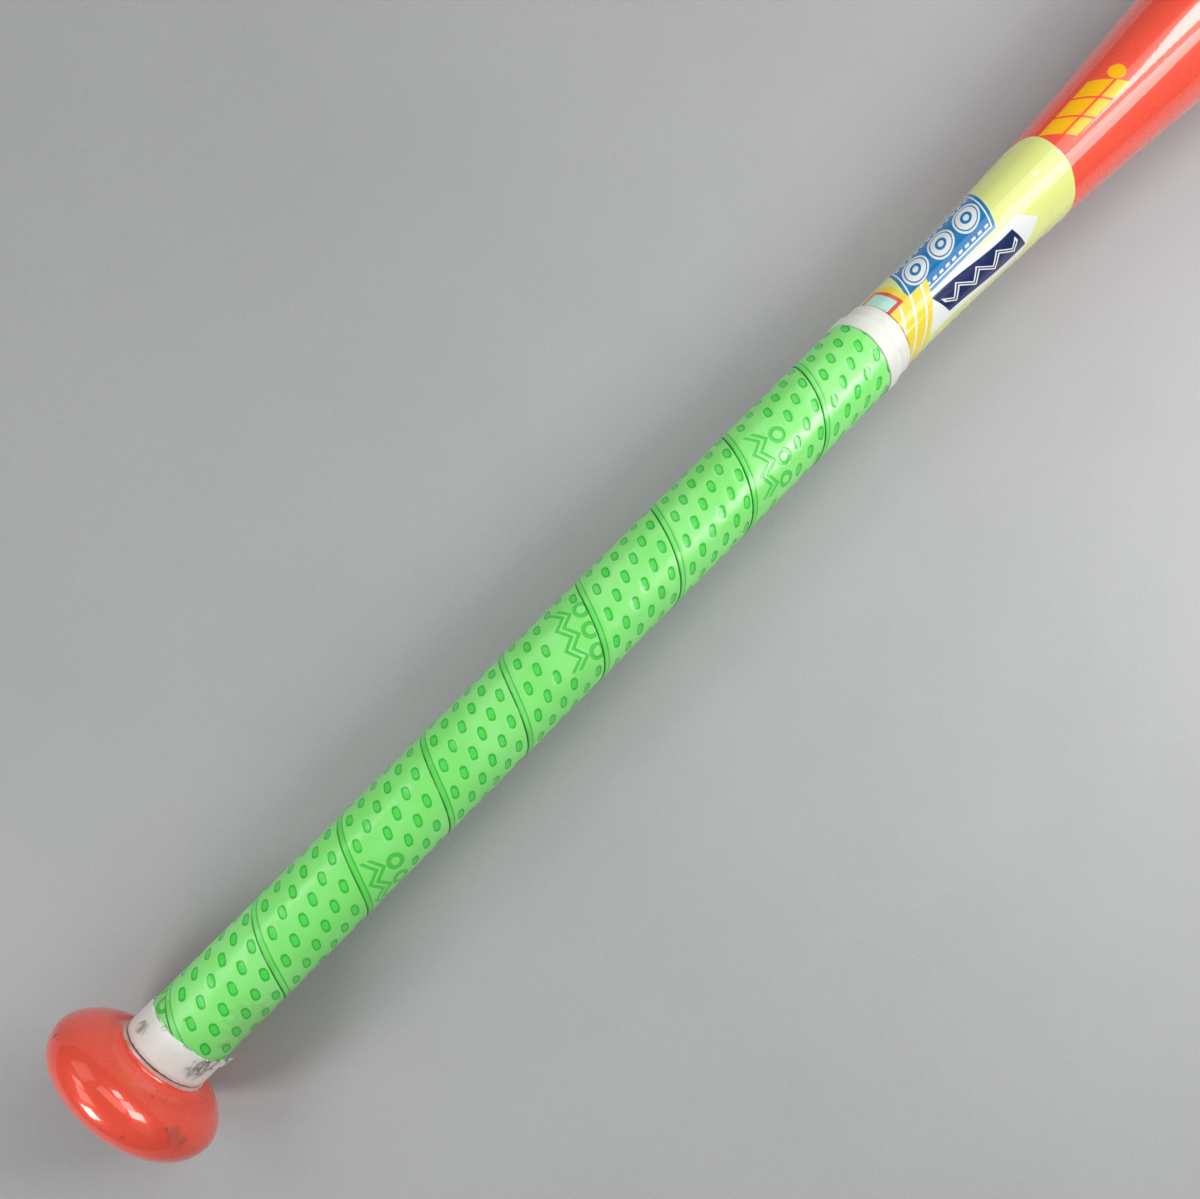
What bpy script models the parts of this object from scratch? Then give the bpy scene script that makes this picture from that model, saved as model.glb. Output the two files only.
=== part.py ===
"""A hollow one-piece softball bat with a wound grip, lying level.

The bat's axis is world X. It runs from the knob, whose flat end face is at
x = 0, to the end cap in the barrel's mouth, and +Z is up. Every piece is turned
or wound about its own Z axis, and one empty lays that axis along world X.
Sizes are in metres. In a profile, z is the distance from the knob's end face
along the bat's axis, and r is the distance from that axis to the middle of a flat.
"""

import math

import bmesh
import bpy
import numpy as np

# How finely round pieces are divided: flats round the bat, and stations in one turn of the grip.
SIDES = 24
TRIM_SIDES = 48
TAPER_STEPS = 16
ARC_STEPS = 7

# Shell: one tube, swaged to a thin handle and open at both ends
BAT_LENGTH = 0.8636
HANDLE_DIAMETER = 0.0222
BARREL_DIAMETER = 0.05715
TAPER_START = 0.314
TAPER_END = 0.604
HANDLE_WALL = 0.0026
BARREL_WALL = 0.0022
BARREL_END_ROUND = 0.0070
BARREL_LIP = 0.0021

# Knob: a mushroom that is bored for the handle
KNOB_DIAMETER = 0.0508
KNOB_FACE_LAND = 0.0012
KNOB_FRONT_DEPTH = 0.0092
KNOB_FRONT_POWER = 2.1
KNOB_BACK_DEPTH = 0.0077
KNOB_BACK_POWER = 1.76
NECK_FILLET_LENGTH = 0.0020
NECK_FILLET_RISE = 0.0028
NECK_WALL = 0.0015

# Knob plug: a rubber stopper that closes the handle's bore
PLUG_HEAD = 0.0022
PLUG_STEM = 0.0150
PLUG_RIBS = 3
PLUG_RIB_RISE = 0.0007
PLUG_RIB_WIDTH = 0.0012
PLUG_WALL = 0.0030

# Foam plug: keeps loose bits in the barrel from rattling down the handle
FOAM_START = 0.262
FOAM_LENGTH = 0.036
FOAM_CHAMFER = 0.0010

# Grip: one strip of cushioned tape, wound left-handed about the handle
GRIP_THICKNESS = 0.00075
GRIP_PITCH = 0.0304
GRIP_SEAM_GAP = 0.0006
GRIP_EDGE_BEVEL = 0.00025
GRIP_BORDER = 0.00145
GRIP_BORDER_GROOVE = 0.0002
GRIP_SEAM_AT_TOP = 0.0588
GRIP_SQUEEZE = 0.0003
GRIP_END = 0.2982

# White finishing tape: a lapped band at each end of the grip
KNOB_TAPE_WIDTH = 0.0092
KNOB_TAPE_UNDERLAP = 0.0006
TOP_TAPE_WIDTH = 0.0097
TOP_TAPE_OVER_GRIP = 0.0036
TOP_TAPE_RAMP = 0.0012
TAPE_THICKNESS = 0.0003
TAPE_STEP = 0.0001
TAPE_LAP_ANGLE = math.radians(225.0)

# Printed film: a thin sleeve over the start of the taper
FILM_LENGTH = 0.0744
FILM_THICKNESS = 0.0001
FILM_CLEARANCE = 0.0001

# End cap: a moulded snap-in lid with fingers, a barb and stiffening ribs
CAP_HEAD = 0.0032
CAP_EDGE_ROUND = 0.0022
CAP_OVERHANG = 0.0018
CAP_SKIRT_LENGTH = 0.0150
CAP_SKIRT_WALL = 0.0018
CAP_BARB_RISE = 0.0012
CAP_BARB_LENGTH = 0.0026
CAP_FINGERS = 6
CAP_SLOT_WIDTH = 0.0022
CAP_SLOT_ROOT = 0.0015
CAP_HUB_DIAMETER = 0.0100
CAP_RIB_THICKNESS = 0.0015
CAP_RIB_DEPTH = 0.0070
CAP_RIM_GROOVE = 0.0006
CAP_RIM_GROOVE_INSET = 0.0040

# Bond: the cured ring of adhesive that holds the cap in
BOND_LENGTH = 0.0060
BOND_MENISCUS = 0.0030

# Room between pieces that touch on the real bat
FIT_GAP = 0.0003

# Colours are linear; each finish is (colour, roughness, metallic, coat)
FINISHES = {
    "coral_enamel": ((0.87, 0.125, 0.085), 0.30, 0.25, 1.0),
    "green_grip": ((0.205, 0.80, 0.17), 0.42, 0.0, 0.0),
    "white_tape": ((0.80, 0.81, 0.74), 0.45, 0.0, 0.0),
    "printed_film": ((0.72, 0.84, 0.24), 0.20, 0.0, 0.6),
    "black_cap": ((0.022, 0.022, 0.024), 0.50, 0.0, 0.0),
    "grey_rubber": ((0.045, 0.045, 0.048), 0.75, 0.0, 0.0),
    "white_foam": ((0.75, 0.74, 0.70), 0.90, 0.0, 0.0),
    "amber_adhesive": ((0.45, 0.27, 0.08), 0.35, 0.0, 0.0),
}
SHARP_ANGLE = math.radians(32.0)
AXIS_MERGE = 0.00001
SEAM_WELD = 0.000002

# Radii and stations that several pieces share
HANDLE_RADIUS = HANDLE_DIAMETER / 2
BARREL_RADIUS = BARREL_DIAMETER / 2
HANDLE_BORE = HANDLE_RADIUS - HANDLE_WALL
KNOB_BORE = HANDLE_RADIUS + FIT_GAP
NECK_RADIUS = KNOB_BORE + NECK_WALL
KNOB_LENGTH = KNOB_FRONT_DEPTH + KNOB_BACK_DEPTH + NECK_FILLET_LENGTH
SHELL_START = PLUG_HEAD + FIT_GAP
SHELL_END = BAT_LENGTH - CAP_HEAD - FIT_GAP
MOUTH_RADIUS = BARREL_RADIUS - BARREL_END_ROUND - BARREL_LIP
GRIP_INNER = HANDLE_RADIUS + FIT_GAP
GRIP_OUTER = GRIP_INNER + GRIP_THICKNESS
GRIP_START = KNOB_LENGTH + FIT_GAP
SQUEEZED_OUTER = GRIP_OUTER - GRIP_SQUEEZE
KNOB_TAPE_END = GRIP_START + KNOB_TAPE_WIDTH
TOP_TAPE_START = GRIP_END - TOP_TAPE_OVER_GRIP
TOP_TAPE_END = TOP_TAPE_START + TOP_TAPE_WIDTH
FILM_START = TOP_TAPE_END + FIT_GAP
SKIRT_RADIUS = MOUTH_RADIUS - FIT_GAP
BARB_RADIUS = SKIRT_RADIUS + CAP_BARB_RISE


def clear_scene():
    """Removes every object, so that the bat is built into an empty scene."""
    for obj in list(bpy.data.objects):
        bpy.data.objects.remove(obj, do_unlink=True)


def new_collection(name):
    """Returns a new collection, linked to the scene."""
    collection = bpy.data.collections.new(name)
    bpy.context.scene.collection.children.link(collection)
    return collection


def finish(name):
    """Returns the Principled material of a named finish, made at its first use."""
    if name in bpy.data.materials:
        return bpy.data.materials[name]
    colour, roughness, metallic, coat = FINISHES[name]
    material = bpy.data.materials.new(name)
    material.use_nodes = True
    shader = material.node_tree.nodes["Principled BSDF"]
    shader.inputs["Base Color"].default_value = (*colour, 1.0)
    shader.inputs["Roughness"].default_value = roughness
    shader.inputs["Metallic"].default_value = metallic
    shader.inputs["Coat Weight"].default_value = coat
    material.diffuse_color = (*colour, 1.0)
    return material


def place(obj, collection, axis):
    """Puts an object in a collection and hangs it on the empty that lays its Z axis along the bat."""
    collection.objects.link(obj)
    obj.parent = axis


def as_operand(obj):
    """Marks an object as one that only cuts or joins others."""
    obj.hide_render = True
    obj.display_type = "WIRE"


def smoothed(mesh):
    """Shades a mesh smooth, apart from its corners."""
    mesh.shade_smooth()
    mesh.set_sharp_from_angle(angle=SHARP_ANGLE)


def ellipse_quarter(start, end, power=2.0, bulge_at_start=False):
    """Points of a quarter of a superellipse from start to end, both (z, r).

    The curve leaves start along the axis and reaches end square to it, or the other way round
    with bulge_at_start. A power of 2 is an ellipse, and a lower one is nearer a straight bevel.
    """
    angles = np.linspace(0.0, math.pi / 2, ARC_STEPS)
    rise = np.sin(angles) ** (2.0 / power)
    fall = 1.0 - np.cos(angles) ** (2.0 / power)
    along, across = (fall, rise) if bulge_at_start else (rise, fall)
    z = start[0] + (end[0] - start[0]) * along
    r = start[1] + (end[1] - start[1]) * across
    return list(zip(z.tolist(), r.tolist()))


def shell_stations():
    """Stations along the shell's outside where its radius is set, from the handle's end to the barrel's."""
    taper = np.linspace(TAPER_START, TAPER_END, TAPER_STEPS + 1).tolist()
    return [SHELL_START, *taper, SHELL_END - BARREL_END_ROUND]


def taper_share(z):
    """How far a station is through the taper, from 0 on the handle to 1 on the barrel."""
    return min(max((z - TAPER_START) / (TAPER_END - TAPER_START), 0.0), 1.0)


def shell_radius(z):
    """Outer radius of the shell: it swells from handle to barrel as 3u^2 - 2u^3."""
    u = taper_share(z)
    return HANDLE_RADIUS + (BARREL_RADIUS - HANDLE_RADIUS) * (3 * u**2 - 2 * u**3)


def shell_wall(z):
    """Wall of the shell, which thins evenly through the taper."""
    return HANDLE_WALL + (BARREL_WALL - HANDLE_WALL) * taper_share(z)


def shell_flat_radius(z):
    """Outer radius of the built shell, whose sides run straight between its stations."""
    stations = shell_stations()
    return float(np.interp(z, stations, [shell_radius(s) for s in stations]))


def profile_mesh(name, profile, closed, half_flat):
    """A mesh of edges alone: the profile's (z, r) points, set half a flat round from +X.

    Each point is moved out to a corner of the turned shape, so that r is met in the middle of its flats.
    """
    points = [(r, r * math.tan(half_flat), z) for z, r in profile]
    edges = [(i, i + 1) for i in range(len(points) - 1)]
    if closed:
        edges.append((len(points) - 1, 0))
    mesh = bpy.data.meshes.new(name)
    mesh.from_pydata(points, edges, [])
    return mesh


def screwed(name, profile, closed, angle, steps, rise=0.0, turns=1):
    """Sweeps a profile round Z with a Screw modifier and returns the object with the sweep as its mesh."""
    outline = profile_mesh(name + "_profile", profile, closed, angle / steps / 2)
    obj = bpy.data.objects.new(name, outline)
    screw = obj.modifiers.new("sweep", "SCREW")
    screw.axis = "Z"
    screw.angle = angle
    screw.steps = steps
    screw.render_steps = steps
    screw.screw_offset = rise
    screw.iterations = turns
    screw.use_merge_vertices = True
    screw.merge_threshold = AXIS_MERGE
    holder = bpy.context.scene.collection
    holder.objects.link(obj)
    bpy.context.view_layer.update()
    graph = bpy.context.evaluated_depsgraph_get()
    mesh = bpy.data.meshes.new_from_object(obj.evaluated_get(graph))
    mesh.name = name
    obj.modifiers.clear()
    obj.data = mesh
    holder.objects.unlink(obj)
    return obj


def fill_ends(mesh):
    """Closes the open ends of a swept mesh, turns its faces outwards and makes each one flat."""
    shape = bmesh.new()
    shape.from_mesh(mesh)
    bmesh.ops.holes_fill(shape, edges=[e for e in shape.edges if e.is_boundary], sides=0)
    bmesh.ops.recalc_face_normals(shape, faces=shape.faces)
    bmesh.ops.triangulate(shape, faces=shape.faces)
    shape.to_mesh(mesh)
    shape.free()


def turned(name, profile, finish_name=None, sides=SIDES):
    """A turned piece. Its profile runs along the outside from the barrel's side to the knob's.

    It then returns along the inside. A profile that starts and ends on the axis is left open there.
    """
    solid = profile[0][1] == 0.0 and profile[-1][1] == 0.0
    obj = screwed(name, profile, not solid, 2 * math.pi, sides)
    smoothed(obj.data)
    if finish_name:
        obj.data.materials.append(finish(finish_name))
    return obj


def boolean(obj, other, operation):
    """Cuts another object from this one, or joins it on, with the exact solver."""
    modifier = obj.modifiers.new(operation.lower(), "BOOLEAN")
    modifier.operation = operation
    modifier.solver = "EXACT"
    modifier.object = other


def weld_cuts(obj):
    """Merges the points that two cuts leave on top of each other."""
    modifier = obj.modifiers.new("weld", "WELD")
    modifier.merge_threshold = SEAM_WELD


def bar(name, size, centre, turn):
    """A rectangular bar, turned about Z once it is in its place along X."""
    shape = bmesh.new()
    bmesh.ops.create_cube(shape, size=1.0)
    bmesh.ops.scale(shape, vec=size, verts=shape.verts)
    bmesh.ops.translate(shape, vec=centre, verts=shape.verts)
    mesh = bpy.data.meshes.new(name)
    shape.to_mesh(mesh)
    shape.free()
    obj = bpy.data.objects.new(name, mesh)
    obj.rotation_euler = (0.0, 0.0, turn)
    return obj


def bat_shell():
    """The tube: handle, taper and barrel in one, with its far end rolled in to a lip."""
    round_start = SHELL_END - BARREL_END_ROUND
    inner_round = (SHELL_END - BARREL_WALL, BARREL_RADIUS - BARREL_END_ROUND)
    outside = ellipse_quarter(
        (SHELL_END, BARREL_RADIUS - BARREL_END_ROUND),
        (round_start, BARREL_RADIUS),
        bulge_at_start=True,
    )
    outside += [(z, shell_radius(z)) for z in reversed(shell_stations()[:-1])]
    inside = [(z, shell_radius(z) - shell_wall(z)) for z in shell_stations()[:-1]]
    inside += ellipse_quarter((round_start, BARREL_RADIUS - BARREL_WALL), inner_round)
    mouth = [(SHELL_END - BARREL_WALL, MOUTH_RADIUS), (SHELL_END, MOUTH_RADIUS)]
    return turned("bat_shell", outside + inside + mouth, "coral_enamel")


def knob():
    """The knob: a flat face, a full round front, a leaner back and a short filleted neck."""
    widest = (KNOB_FRONT_DEPTH, KNOB_DIAMETER / 2)
    face = (0.0, KNOB_BORE + KNOB_FACE_LAND)
    back = (KNOB_FRONT_DEPTH + KNOB_BACK_DEPTH, NECK_RADIUS + NECK_FILLET_RISE)
    neck = (KNOB_LENGTH, NECK_RADIUS)
    profile = [(KNOB_LENGTH, KNOB_BORE), neck]
    profile += ellipse_quarter(neck, back)[1:]
    profile += ellipse_quarter(back, widest, KNOB_BACK_POWER, bulge_at_start=True)[1:]
    profile += ellipse_quarter(widest, face, KNOB_FRONT_POWER)[1:]
    profile += [(0.0, KNOB_BORE)]
    return turned("knob", profile, "coral_enamel")


def knob_plug():
    """The stopper: a flush head in the knob's bore and a hollow, ribbed stem in the handle's."""
    rib_radius = HANDLE_BORE - FIT_GAP
    stem_radius = rib_radius - PLUG_RIB_RISE
    end = PLUG_HEAD + PLUG_STEM
    pitch = PLUG_STEM / (PLUG_RIBS + 1)
    outside = [(end, stem_radius)]
    for i in reversed(range(1, PLUG_RIBS + 1)):
        crest = PLUG_HEAD + i * pitch
        outside += [
            (crest + PLUG_RIB_WIDTH, stem_radius),
            (crest, rib_radius),
            (crest, stem_radius),
        ]
    outside += [(PLUG_HEAD, stem_radius), (PLUG_HEAD, HANDLE_RADIUS), (0.0, HANDLE_RADIUS)]
    hollow = stem_radius - PLUG_WALL
    inside = [(PLUG_HEAD, 0.0), (PLUG_HEAD, hollow), (end, hollow)]
    return turned("knob_plug", [*inside, *outside, (0.0, 0.0)], "grey_rubber")


def handle_foam_plug():
    """The foam stopper: a plain cylinder with bevelled ends, pushed down the handle's bore."""
    radius = HANDLE_BORE - FIT_GAP
    end = FOAM_START + FOAM_LENGTH
    profile = [
        (end, 0.0),
        (end, radius - FOAM_CHAMFER),
        (end - FOAM_CHAMFER, radius),
        (FOAM_START + FOAM_CHAMFER, radius),
        (FOAM_START, radius - FOAM_CHAMFER),
        (FOAM_START, 0.0),
    ]
    return turned("handle_foam_plug", profile, "white_foam")


def grip_section(z):
    """The strip's cross-section, with its knob-side edge at z: bevelled edges and a grooved border."""
    far = z + GRIP_PITCH - GRIP_SEAM_GAP
    shoulder = GRIP_OUTER - GRIP_EDGE_BEVEL
    border = z + GRIP_BORDER
    return [
        (far, GRIP_INNER),
        (far, shoulder),
        (far - GRIP_EDGE_BEVEL, GRIP_OUTER),
        (border + GRIP_BORDER_GROOVE, GRIP_OUTER),
        (border, GRIP_OUTER - GRIP_BORDER_GROOVE),
        (border - GRIP_BORDER_GROOVE, GRIP_OUTER),
        (z + GRIP_EDGE_BEVEL, GRIP_OUTER),
        (z, shoulder),
        (z, GRIP_INNER),
    ]


def grip_winding():
    """Where the winding starts, past the grip's far end, and how many turns bring it past the near end."""
    half_flat = 0.5 / SIDES
    start = GRIP_SEAM_AT_TOP + GRIP_SEAM_GAP / 2 + GRIP_PITCH * (0.5 - half_flat)
    start += GRIP_PITCH * math.ceil((GRIP_END - start) / GRIP_PITCH)
    turns = math.ceil((start - GRIP_START) / GRIP_PITCH) + 1
    return start, turns


def edge_points(z, radius, turns, samples=6):
    """Points along one edge of the wound strip, on its straight runs between stations."""
    station = np.arange(turns * SIDES + 1)
    angle = 2 * math.pi * (station + 0.5) / SIDES
    reach = radius / math.cos(math.pi / SIDES)
    height = z - GRIP_PITCH * station / SIDES
    corners = np.stack([reach * np.cos(angle), reach * np.sin(angle), height], axis=1)
    share = (np.arange(samples) / samples)[None, :, None]
    runs = corners[:-1, None] * (1 - share) + corners[1:, None] * share
    return runs.reshape(-1, 3)


def grip_self_gap():
    """The least distance between one turn of the strip and the next, measured on points of both edges."""
    start, turns = grip_winding()
    least = math.inf
    for radius in (GRIP_INNER, GRIP_OUTER - GRIP_EDGE_BEVEL):
        near = edge_points(start, radius, turns)
        far = edge_points(start + GRIP_PITCH - GRIP_SEAM_GAP, radius, turns)
        for point in near:
            least = min(least, float(np.linalg.norm(far - point, axis=1).min()))
    return least


def grip_tape(cutters, axis):
    """The grip: one unbroken strip, wound left-handed, trimmed square and squeezed under the white tape."""
    start, turns = grip_winding()
    obj = screwed(
        "grip_tape",
        grip_section(start),
        True,
        2 * math.pi,
        SIDES,
        rise=-GRIP_PITCH,
        turns=turns,
    )
    fill_ends(obj.data)
    smoothed(obj.data)
    obj.data.materials.append(finish("green_grip"))
    spare = 2.5 * GRIP_PITCH
    below = HANDLE_RADIUS
    beyond = GRIP_OUTER + GRIP_THICKNESS
    knob_side = [
        (KNOB_TAPE_END + FIT_GAP, beyond),
        (GRIP_START - spare, beyond),
        (GRIP_START - spare, below),
        (GRIP_START, below),
        (GRIP_START, SQUEEZED_OUTER),
        (KNOB_TAPE_END + FIT_GAP, SQUEEZED_OUTER),
    ]
    barrel_side = [
        (GRIP_END + spare, beyond),
        (TOP_TAPE_START - FIT_GAP, beyond),
        (TOP_TAPE_START - FIT_GAP, SQUEEZED_OUTER),
        (GRIP_END, SQUEEZED_OUTER),
        (GRIP_END, below),
        (GRIP_END + spare, below),
    ]
    for name, profile in (("grip_trim_knob_side", knob_side), ("grip_trim_barrel_side", barrel_side)):
        cutter = turned(name, profile, sides=TRIM_SIDES)
        as_operand(cutter)
        place(cutter, cutters, axis)
        boolean(obj, cutter, "DIFFERENCE")
    weld_cuts(obj)
    return obj


def tape_lap(name, start, end, inner, outer):
    """The last lap of a finishing tape: a raised patch part of the way round, with a step at each end."""
    sink = (outer - inner) / 2
    profile = [(end, inner + sink), (end, outer), (start, outer), (start, inner + sink)]
    steps = round(TAPE_LAP_ANGLE / (2 * math.pi) * SIDES)
    lap = screwed(name, profile, True, 2 * math.pi * steps / SIDES, steps)
    fill_ends(lap.data)
    return lap


def knob_tape(cutters, axis):
    """The white band against the knob: it squeezes the grip's start, and its first lap shows as a rim."""
    inner = SQUEEZED_OUTER + FIT_GAP
    outer = inner + TAPE_THICKNESS
    rim = GRIP_START + KNOB_TAPE_UNDERLAP
    profile = [
        (KNOB_TAPE_END, inner),
        (KNOB_TAPE_END, outer),
        (rim, outer),
        (rim, outer - TAPE_STEP),
        (GRIP_START, outer - TAPE_STEP),
        (GRIP_START, inner),
    ]
    obj = turned("knob_tape", profile, "white_tape")
    lap = tape_lap("knob_tape_lap", rim + TAPE_STEP, KNOB_TAPE_END - TAPE_STEP, inner, outer + TAPE_STEP)
    as_operand(lap)
    place(lap, cutters, axis)
    boolean(obj, lap, "UNION")
    weld_cuts(obj)
    return obj


def top_tape():
    """The white band at the grip's far end: over the grip, down a ramp and on to the bare handle."""
    over = SQUEEZED_OUTER + FIT_GAP
    bare = HANDLE_RADIUS + FIT_GAP
    step = TOP_TAPE_START + TOP_TAPE_OVER_GRIP + FIT_GAP
    foot = step + TOP_TAPE_RAMP
    second = (foot + TOP_TAPE_END) / 2
    profile = [
        (TOP_TAPE_END, bare),
        (TOP_TAPE_END, bare + TAPE_THICKNESS - TAPE_STEP),
        (second, bare + TAPE_THICKNESS - TAPE_STEP),
        (second, bare + TAPE_THICKNESS),
        (foot, bare + TAPE_THICKNESS),
        (step, over + TAPE_THICKNESS),
        (TOP_TAPE_START, over + TAPE_THICKNESS),
        (TOP_TAPE_START, over),
        (step, over),
        (foot, bare),
    ]
    return turned("top_tape", profile, "white_tape")


def decal_film():
    """The printed film: a sleeve that follows the shell from the white tape into the taper."""
    end = FILM_START + FILM_LENGTH
    stations = [FILM_START, *[z for z in shell_stations() if FILM_START < z < end], end]
    inner = [(z, shell_flat_radius(z) + FILM_CLEARANCE) for z in stations]
    outer = [(z, r + FILM_THICKNESS) for z, r in inner]
    return turned("decal_film", outer[::-1] + inner, "printed_film")


def end_cap(cutters, axis):
    """The cap: a round-edged head on the barrel's lip and a slotted, barbed skirt behind it.

    A hub and crossed ribs stiffen the head from inside, one rib between each pair of slots.
    """
    seat = SHELL_END + FIT_GAP
    head_radius = MOUTH_RADIUS + CAP_OVERHANG
    flat_radius = head_radius - CAP_EDGE_ROUND
    groove = flat_radius - CAP_RIM_GROOVE_INSET
    skirt_inner = SKIRT_RADIUS - CAP_SKIRT_WALL
    skirt_end = seat - CAP_SKIRT_LENGTH
    barb = SHELL_END - BARREL_WALL - FIT_GAP
    floor = seat - CAP_RIB_DEPTH
    face = [
        (BAT_LENGTH, 0.0),
        (BAT_LENGTH, groove - CAP_RIM_GROOVE),
        (BAT_LENGTH - CAP_RIM_GROOVE, groove),
        (BAT_LENGTH, groove + CAP_RIM_GROOVE),
    ]
    edge = ellipse_quarter(
        (BAT_LENGTH, flat_radius),
        (BAT_LENGTH - CAP_EDGE_ROUND, head_radius),
        bulge_at_start=True,
    )
    skirt = [
        (seat, head_radius),
        (seat, SKIRT_RADIUS),
        (barb, SKIRT_RADIUS),
        (barb, BARB_RADIUS),
        (barb - CAP_BARB_LENGTH, SKIRT_RADIUS),
        (skirt_end, SKIRT_RADIUS),
        (skirt_end, skirt_inner),
        (seat, skirt_inner),
        (seat, CAP_HUB_DIAMETER / 2),
        (floor, CAP_HUB_DIAMETER / 2),
        (floor, 0.0),
    ]
    obj = turned("end_cap", face + edge + skirt, "black_cap")
    overlap = CAP_SKIRT_WALL / 2
    rib_size = (2 * (skirt_inner + overlap), CAP_RIB_THICKNESS, CAP_RIB_DEPTH + overlap)
    rib_centre = (0.0, 0.0, seat - CAP_RIB_DEPTH / 2 + overlap / 2)
    slot_length = CAP_SKIRT_LENGTH - CAP_SLOT_ROOT
    slot_reach = 2 * (BARB_RADIUS - skirt_inner)
    slot_size = (2 * slot_reach, CAP_SLOT_WIDTH, 2 * slot_length)
    slot_centre = (skirt_inner + slot_reach - overlap, 0.0, seat - CAP_SLOT_ROOT - slot_length)
    for i in range(CAP_FINGERS // 2):
        rib = bar(f"cap_rib_{i + 1}", rib_size, rib_centre, math.pi * (2 * i + 1) / CAP_FINGERS)
        as_operand(rib)
        place(rib, cutters, axis)
        boolean(obj, rib, "UNION")
    for i in range(CAP_FINGERS):
        slot = bar(f"cap_slot_{i + 1}", slot_size, slot_centre, 2 * math.pi * i / CAP_FINGERS)
        as_operand(slot)
        place(slot, cutters, axis)
        boolean(obj, slot, "DIFFERENCE")
    weld_cuts(obj)
    return obj


def cap_bond_ring():
    """The adhesive: it fills the corner behind the lip, between the cap's barb and the barrel's wall."""
    inner = BARB_RADIUS + FIT_GAP
    outer = BARREL_RADIUS - BARREL_WALL - FIT_GAP
    front = SHELL_END - BARREL_WALL - FIT_GAP
    round_start = SHELL_END - BARREL_END_ROUND
    back = round_start - BOND_LENGTH
    corner = ellipse_quarter(
        (front, BARREL_RADIUS - BARREL_END_ROUND), (round_start, outer), bulge_at_start=True
    )
    profile = [(front, inner), *corner, (back, outer), (back + BOND_MENISCUS, inner)]
    return turned("cap_bond_ring", profile, "amber_adhesive")


def main():
    """Builds the bat, piece by piece, from the shell outwards."""
    clear_scene()
    parts = new_collection("softball_bat")
    cutters = new_collection("softball_bat_cutters")
    axis = bpy.data.objects.new("bat_axis", None)
    axis.rotation_euler = (0.0, math.pi / 2, 0.0)
    parts.objects.link(axis)
    pieces = [
        bat_shell(),
        knob(),
        knob_plug(),
        handle_foam_plug(),
        grip_tape(cutters, axis),
        knob_tape(cutters, axis),
        top_tape(),
        decal_film(),
        end_cap(cutters, axis),
        cap_bond_ring(),
    ]
    for piece in pieces:
        place(piece, parts, axis)
    print(f"grip_tape: least gap between its turns {grip_self_gap() * 1000:.2f} mm")


main()
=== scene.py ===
"""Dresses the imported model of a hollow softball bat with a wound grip.

The bat's axis is world X, from the knob's flat face at x = 0 to the end cap, and +Z is up.
Sizes are in metres. A point on a turned or wound piece is (x, r sin a, r cos a): its station
along the bat, and its radius at the angle a, which runs from the top towards +Y.
"""

from __future__ import annotations

import logging
import math
from dataclasses import dataclass, field
from enum import Enum
from functools import reduce
from operator import or_
from typing import Union

import bpy
import numpy as np
from mathutils import Matrix


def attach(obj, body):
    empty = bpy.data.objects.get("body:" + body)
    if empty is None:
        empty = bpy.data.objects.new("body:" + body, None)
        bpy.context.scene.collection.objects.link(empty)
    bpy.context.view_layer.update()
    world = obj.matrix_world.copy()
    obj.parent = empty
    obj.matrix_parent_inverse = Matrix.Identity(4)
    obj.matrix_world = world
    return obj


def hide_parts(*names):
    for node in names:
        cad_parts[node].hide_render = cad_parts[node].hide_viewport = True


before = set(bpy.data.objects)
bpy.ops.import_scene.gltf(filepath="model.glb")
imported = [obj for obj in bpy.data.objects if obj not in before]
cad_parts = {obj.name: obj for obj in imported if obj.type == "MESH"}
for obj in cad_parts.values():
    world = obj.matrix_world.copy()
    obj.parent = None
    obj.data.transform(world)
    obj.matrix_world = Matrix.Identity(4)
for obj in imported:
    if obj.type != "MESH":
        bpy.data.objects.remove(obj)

Array = np.ndarray
Colour = tuple[float, float, float]
Point = tuple[float, float, float]
Profile = list[tuple[float, float]]
Waves = tuple[tuple[int, float, float], ...]
Value = Union[float, "Term"]
Ink = Union[Colour, "Term"]

LOG = logging.getLogger("bat")
TURN = 2.0 * math.pi
SIDES = 192


class Slot(Enum):
    """Names of the material slots."""

    SHELL = "shell"
    KNOB = "knob"
    RUBBER = "rubber"
    FOAM = "foam"
    GRIP = "grip"
    WHITE_TAPE = "white_tape"
    FILM = "film"
    CAP = "cap"
    ADHESIVE = "adhesive"


# ---------------------------------------------------------------- surfaces


def soft_step(value: Array | float, start: float, end: float) -> Array:
    """Rises from 0 at start to 1 at end as 3t^2 - 2t^3.

    Args:
        value: Where to read the step.
        start: Value at which it leaves 0.
        end: Value at which it reaches 1.

    Returns:
        The step, the same shape as value.
    """
    t = np.clip((np.asarray(value, dtype=float) - start) / (end - start), 0.0, 1.0)
    return t * t * (3.0 - 2.0 * t)


def ripple(angle: Array, waves: Waves) -> Array:
    """A wandering edge: size * sin(count * angle + phase), added up over (count, size, phase)."""
    return sum(size * np.sin(count * angle + phase) for count, size, phase in waves)


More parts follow.
